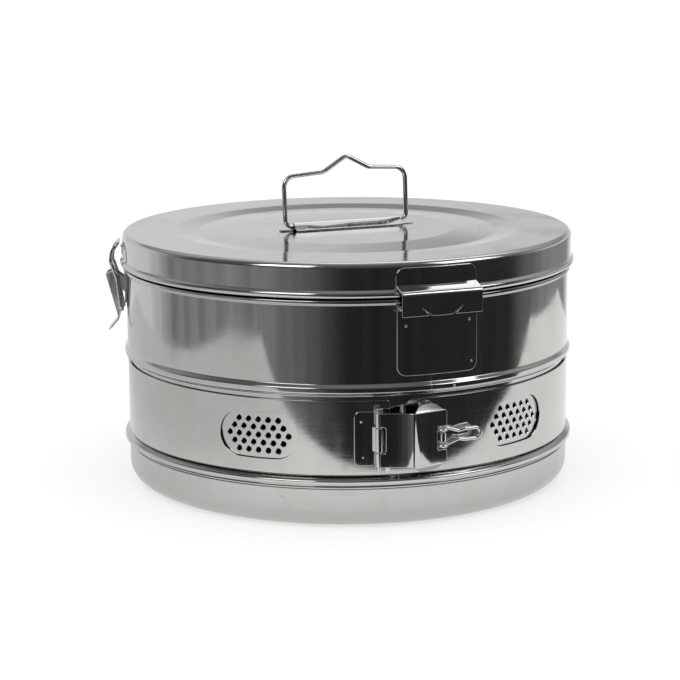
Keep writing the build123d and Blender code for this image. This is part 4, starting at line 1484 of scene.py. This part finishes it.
# from the horizon up: the room behind the drum, and the room in front of it
ROOM_BEHIND = ((-10, 0.8), (14, 0.7), (20, 0.3), (40, 0.5), (90, 0.45))
ROOM_BEFORE = ((-10, 0.03), (60, 0.14), (90, 0.45))
ROOM_STRENGTH = 2.0


def ramp(tree, angle, stops):
    """Greys by an angle in radians, held as shares of the room's strength."""
    first, last = stops[0][0], stops[-1][0]
    share = spread(tree, angle, (math.radians(first), math.radians(last)))
    node = add(tree, "ShaderNodeValToRGB", {0: share})
    elements = node.color_ramp.elements
    elements.remove(elements[1])
    for index, (at, level) in enumerate(stops):
        place = (at - first) / (last - first)
        element = elements.new(place) if index else elements[0]
        element.position = place
        element.color = (*[level / ROOM_STRENGTH] * 3, 1.0)
    return node.outputs[0]


def studio_world(scene):
    """A white world for the camera and the floor, and a dim room for the steel."""
    scene.world = bpy.data.worlds.new("studio")
    tree = bare(scene.world)
    way = add(tree, "ShaderNodeTexCoord").outputs["Generated"]
    east, north, up = from_camera(tree, way)
    azimuth = calc(tree, "ARCTAN2", east, calc(tree, "MULTIPLY", north, -1.0))
    elevation = calc(tree, "ARCSINE", up)
    # faint upright streaks round the room, none of them near its bright ends
    lines_at = vector_of(tree, azimuth, elevation)
    lines = noise(tree, stretched(tree, lines_at, (9.0, 1.2, 1.0)), 1.0, 4.0, 0.7)
    left_side = spread(tree, azimuth, (math.radians(-130), math.radians(-100)))
    calm = spread(tree, azimuth, (math.radians(110), math.radians(146)), (1.0, 0.0))
    plain = (1.0, 1.0, 1.0, 1.0)
    streaks = mixed(
        tree, calc(tree, "MULTIPLY", left_side, calm), plain,
        spread(tree, lines, (0.3, 0.7), (0.66, 1.34)),
    )
    low = mixed(tree, 1.0, ramp(tree, azimuth, ROOM_ROUND), streaks, blend="MULTIPLY")
    # above the horizon the room behind rises a little towards the right
    aside = add(
        tree, "ShaderNodeClamp",
        {"Value": calc(tree, "ARCTAN2", east, north), "Min": -0.07, "Max": 0.07},
    ).outputs[0]
    behind = ramp(tree, calc(tree, "MULTIPLY_ADD", aside, 1.25, elevation), ROOM_BEHIND)
    before = ramp(tree, elevation, ROOM_BEFORE)
    high = mixed(tree, spread(tree, north, (-0.1, 0.55), smooth=True), before, behind)
    rising = spread(tree, elevation, (math.radians(-4), math.radians(4)), smooth=True)
    room = mixed(tree, rising, low, high)
    dim = add(tree, "ShaderNodeBackground", {"Color": room, "Strength": ROOM_STRENGTH})
    white = add(tree, "ShaderNodeBackground", {"Color": plain, "Strength": 1.02})
    ray = add(tree, "ShaderNodeLightPath")
    shown = add(
        tree, "ShaderNodeMixShader",
        {0: ray.outputs["Is Glossy Ray"], 1: white.outputs[0], 2: dim.outputs[0]},
    )
    add(tree, "ShaderNodeOutputWorld", {"Surface": shown.outputs[0]})


class DRUM_OT_stage(bpy.types.Operator):
    """Sets the floor, the studio cards, the lights, the world and the camera"""

    bl_idname = "drum.stage"
    bl_label = "Stage"

    def execute(self, context):
        scene = context.scene
        scene.view_settings.view_transform = "Standard"
        scene.view_settings.look = "None"
        board = floor_material(scene.drum_finish)
        floor = floor_piece("floor", rectangle(9.0, 9.0, (0.0, 2.0)), 0.0, board)
        floor.visible_glossy = False
        # the white sheet on the floor as it shows in the steel
        outline = [
            (-0.6, 0.5), (-0.6, -0.4), (-0.45, -0.55), (0.0, -0.3), (0.4, -0.13),
            (0.7, 0.1), (0.6, 0.5),
        # the white sheet on the floor as it shows in the steel, glowing, with painted shade
        # to the left and by the drum
        ]
        reflection_only(floor_piece("floor_sheet", outline, -0.0002, painted_shade_sheet()))
        card("high_left_light", (-50, -17), (22, 52), 2.6, soft=0.08)
        card("high_right_light", (48, 88), (22, 52), 2.6, soft=0.08)
        card("overhead_light", (110, 215), (38, 78), 1.5, soft=0.3)
        studio_world(scene)
        distance, lift = 2.2, math.radians(55.0)
        for name, side, power in (("key_softbox", -50.0, 5.0), ("fill_softbox", 65.0, 4.0)):
            data = bpy.data.lights.new(name, "AREA")
            data.energy = power
            data.size = 1.6
            lamp = new_object(name, data)
            lamp.location = spot(
                distance * math.cos(lift), side + CAMERA_AZIMUTH, distance * math.sin(lift)
            )
            lamp.rotation_euler = (-lamp.location).to_track_quat("-Z", "Y").to_euler()
            lamp.visible_glossy = False
        set_camera(scene)
        return {"FINISHED"}


def set_camera(scene):
    """The camera where the photograph was taken from."""
    distance, height = 1.37908, 0.37018
    pitch, yaw, roll = 0.2023, 0.0035, -0.0068
    focal_pixels, frame_pixels, sensor = 2120.09, 680.0, 36.0
    right = Vector((math.cos(yaw), math.sin(yaw), 0))
    ahead = Vector((-math.sin(yaw), math.cos(yaw), 0))
    forward = ahead * math.cos(pitch) - Vector((0, 0, math.sin(pitch)))
    up = ahead * math.sin(pitch) + Vector((0, 0, math.cos(pitch)))
    tilted_right = right * math.cos(roll) + up * math.sin(roll)
    tilted_up = up * math.cos(roll) - right * math.sin(roll)
    basis = Matrix((tilted_right, tilted_up, -forward)).transposed()
    turn = Matrix.Rotation(math.radians(CAMERA_AZIMUTH), 3, "Z")
    data = bpy.data.cameras.new("camera")
    data.sensor_width = sensor
    data.lens = focal_pixels / frame_pixels * sensor
    data.clip_start = 0.01
    data.dof.use_dof = False
    camera = new_object("camera", data)
    matrix = (turn @ basis).to_4x4()
    matrix.translation = turn @ Vector((0, -distance, height))
    camera.matrix_world = matrix
    scene.camera = camera


# ---- panel and registration ----
STEPS = (
    DRUM_OT_wall, DRUM_OT_base_pan, DRUM_OT_vent_band, DRUM_OT_lid, DRUM_OT_handle,
    DRUM_OT_lid_hinge, DRUM_OT_band_clasp, DRUM_OT_wire_catch, DRUM_OT_side_latches,
    DRUM_OT_weld_dots, DRUM_OT_stage,
)


class VIEW3D_PT_drum(bpy.types.Panel):
    """Lists the drum's pieces and sizes"""

    bl_label = "Sterilization drum"
    bl_space_type = "VIEW_3D"
    bl_region_type = "UI"
    bl_category = "Drum"

    def draw(self, context):
        column = self.layout.column()
        for step in STEPS:
            column.operator(step.bl_idname)
        for group in (context.scene.drum_sizes, context.scene.drum_finish):
            for key in type(group).__annotations__:
                column.prop(group, key)


def register():
    for kind in (DrumSizes, DrumFinish, *STEPS, VIEW3D_PT_drum):
        bpy.utils.register_class(kind)
    bpy.types.Scene.drum_sizes = bpy.props.PointerProperty(type=DrumSizes)
    bpy.types.Scene.drum_finish = bpy.props.PointerProperty(type=DrumFinish)


def unregister():
    del bpy.types.Scene.drum_finish
    del bpy.types.Scene.drum_sizes
    for kind in reversed((DrumSizes, DrumFinish, *STEPS, VIEW3D_PT_drum)):
        bpy.utils.unregister_class(kind)


def main():
    """Builds every piece and the stage."""
    register()
    for step in STEPS:
        family, name = step.bl_idname.split(".")
        getattr(getattr(bpy.ops, family), name)()


if __name__ == "__main__":
    main()
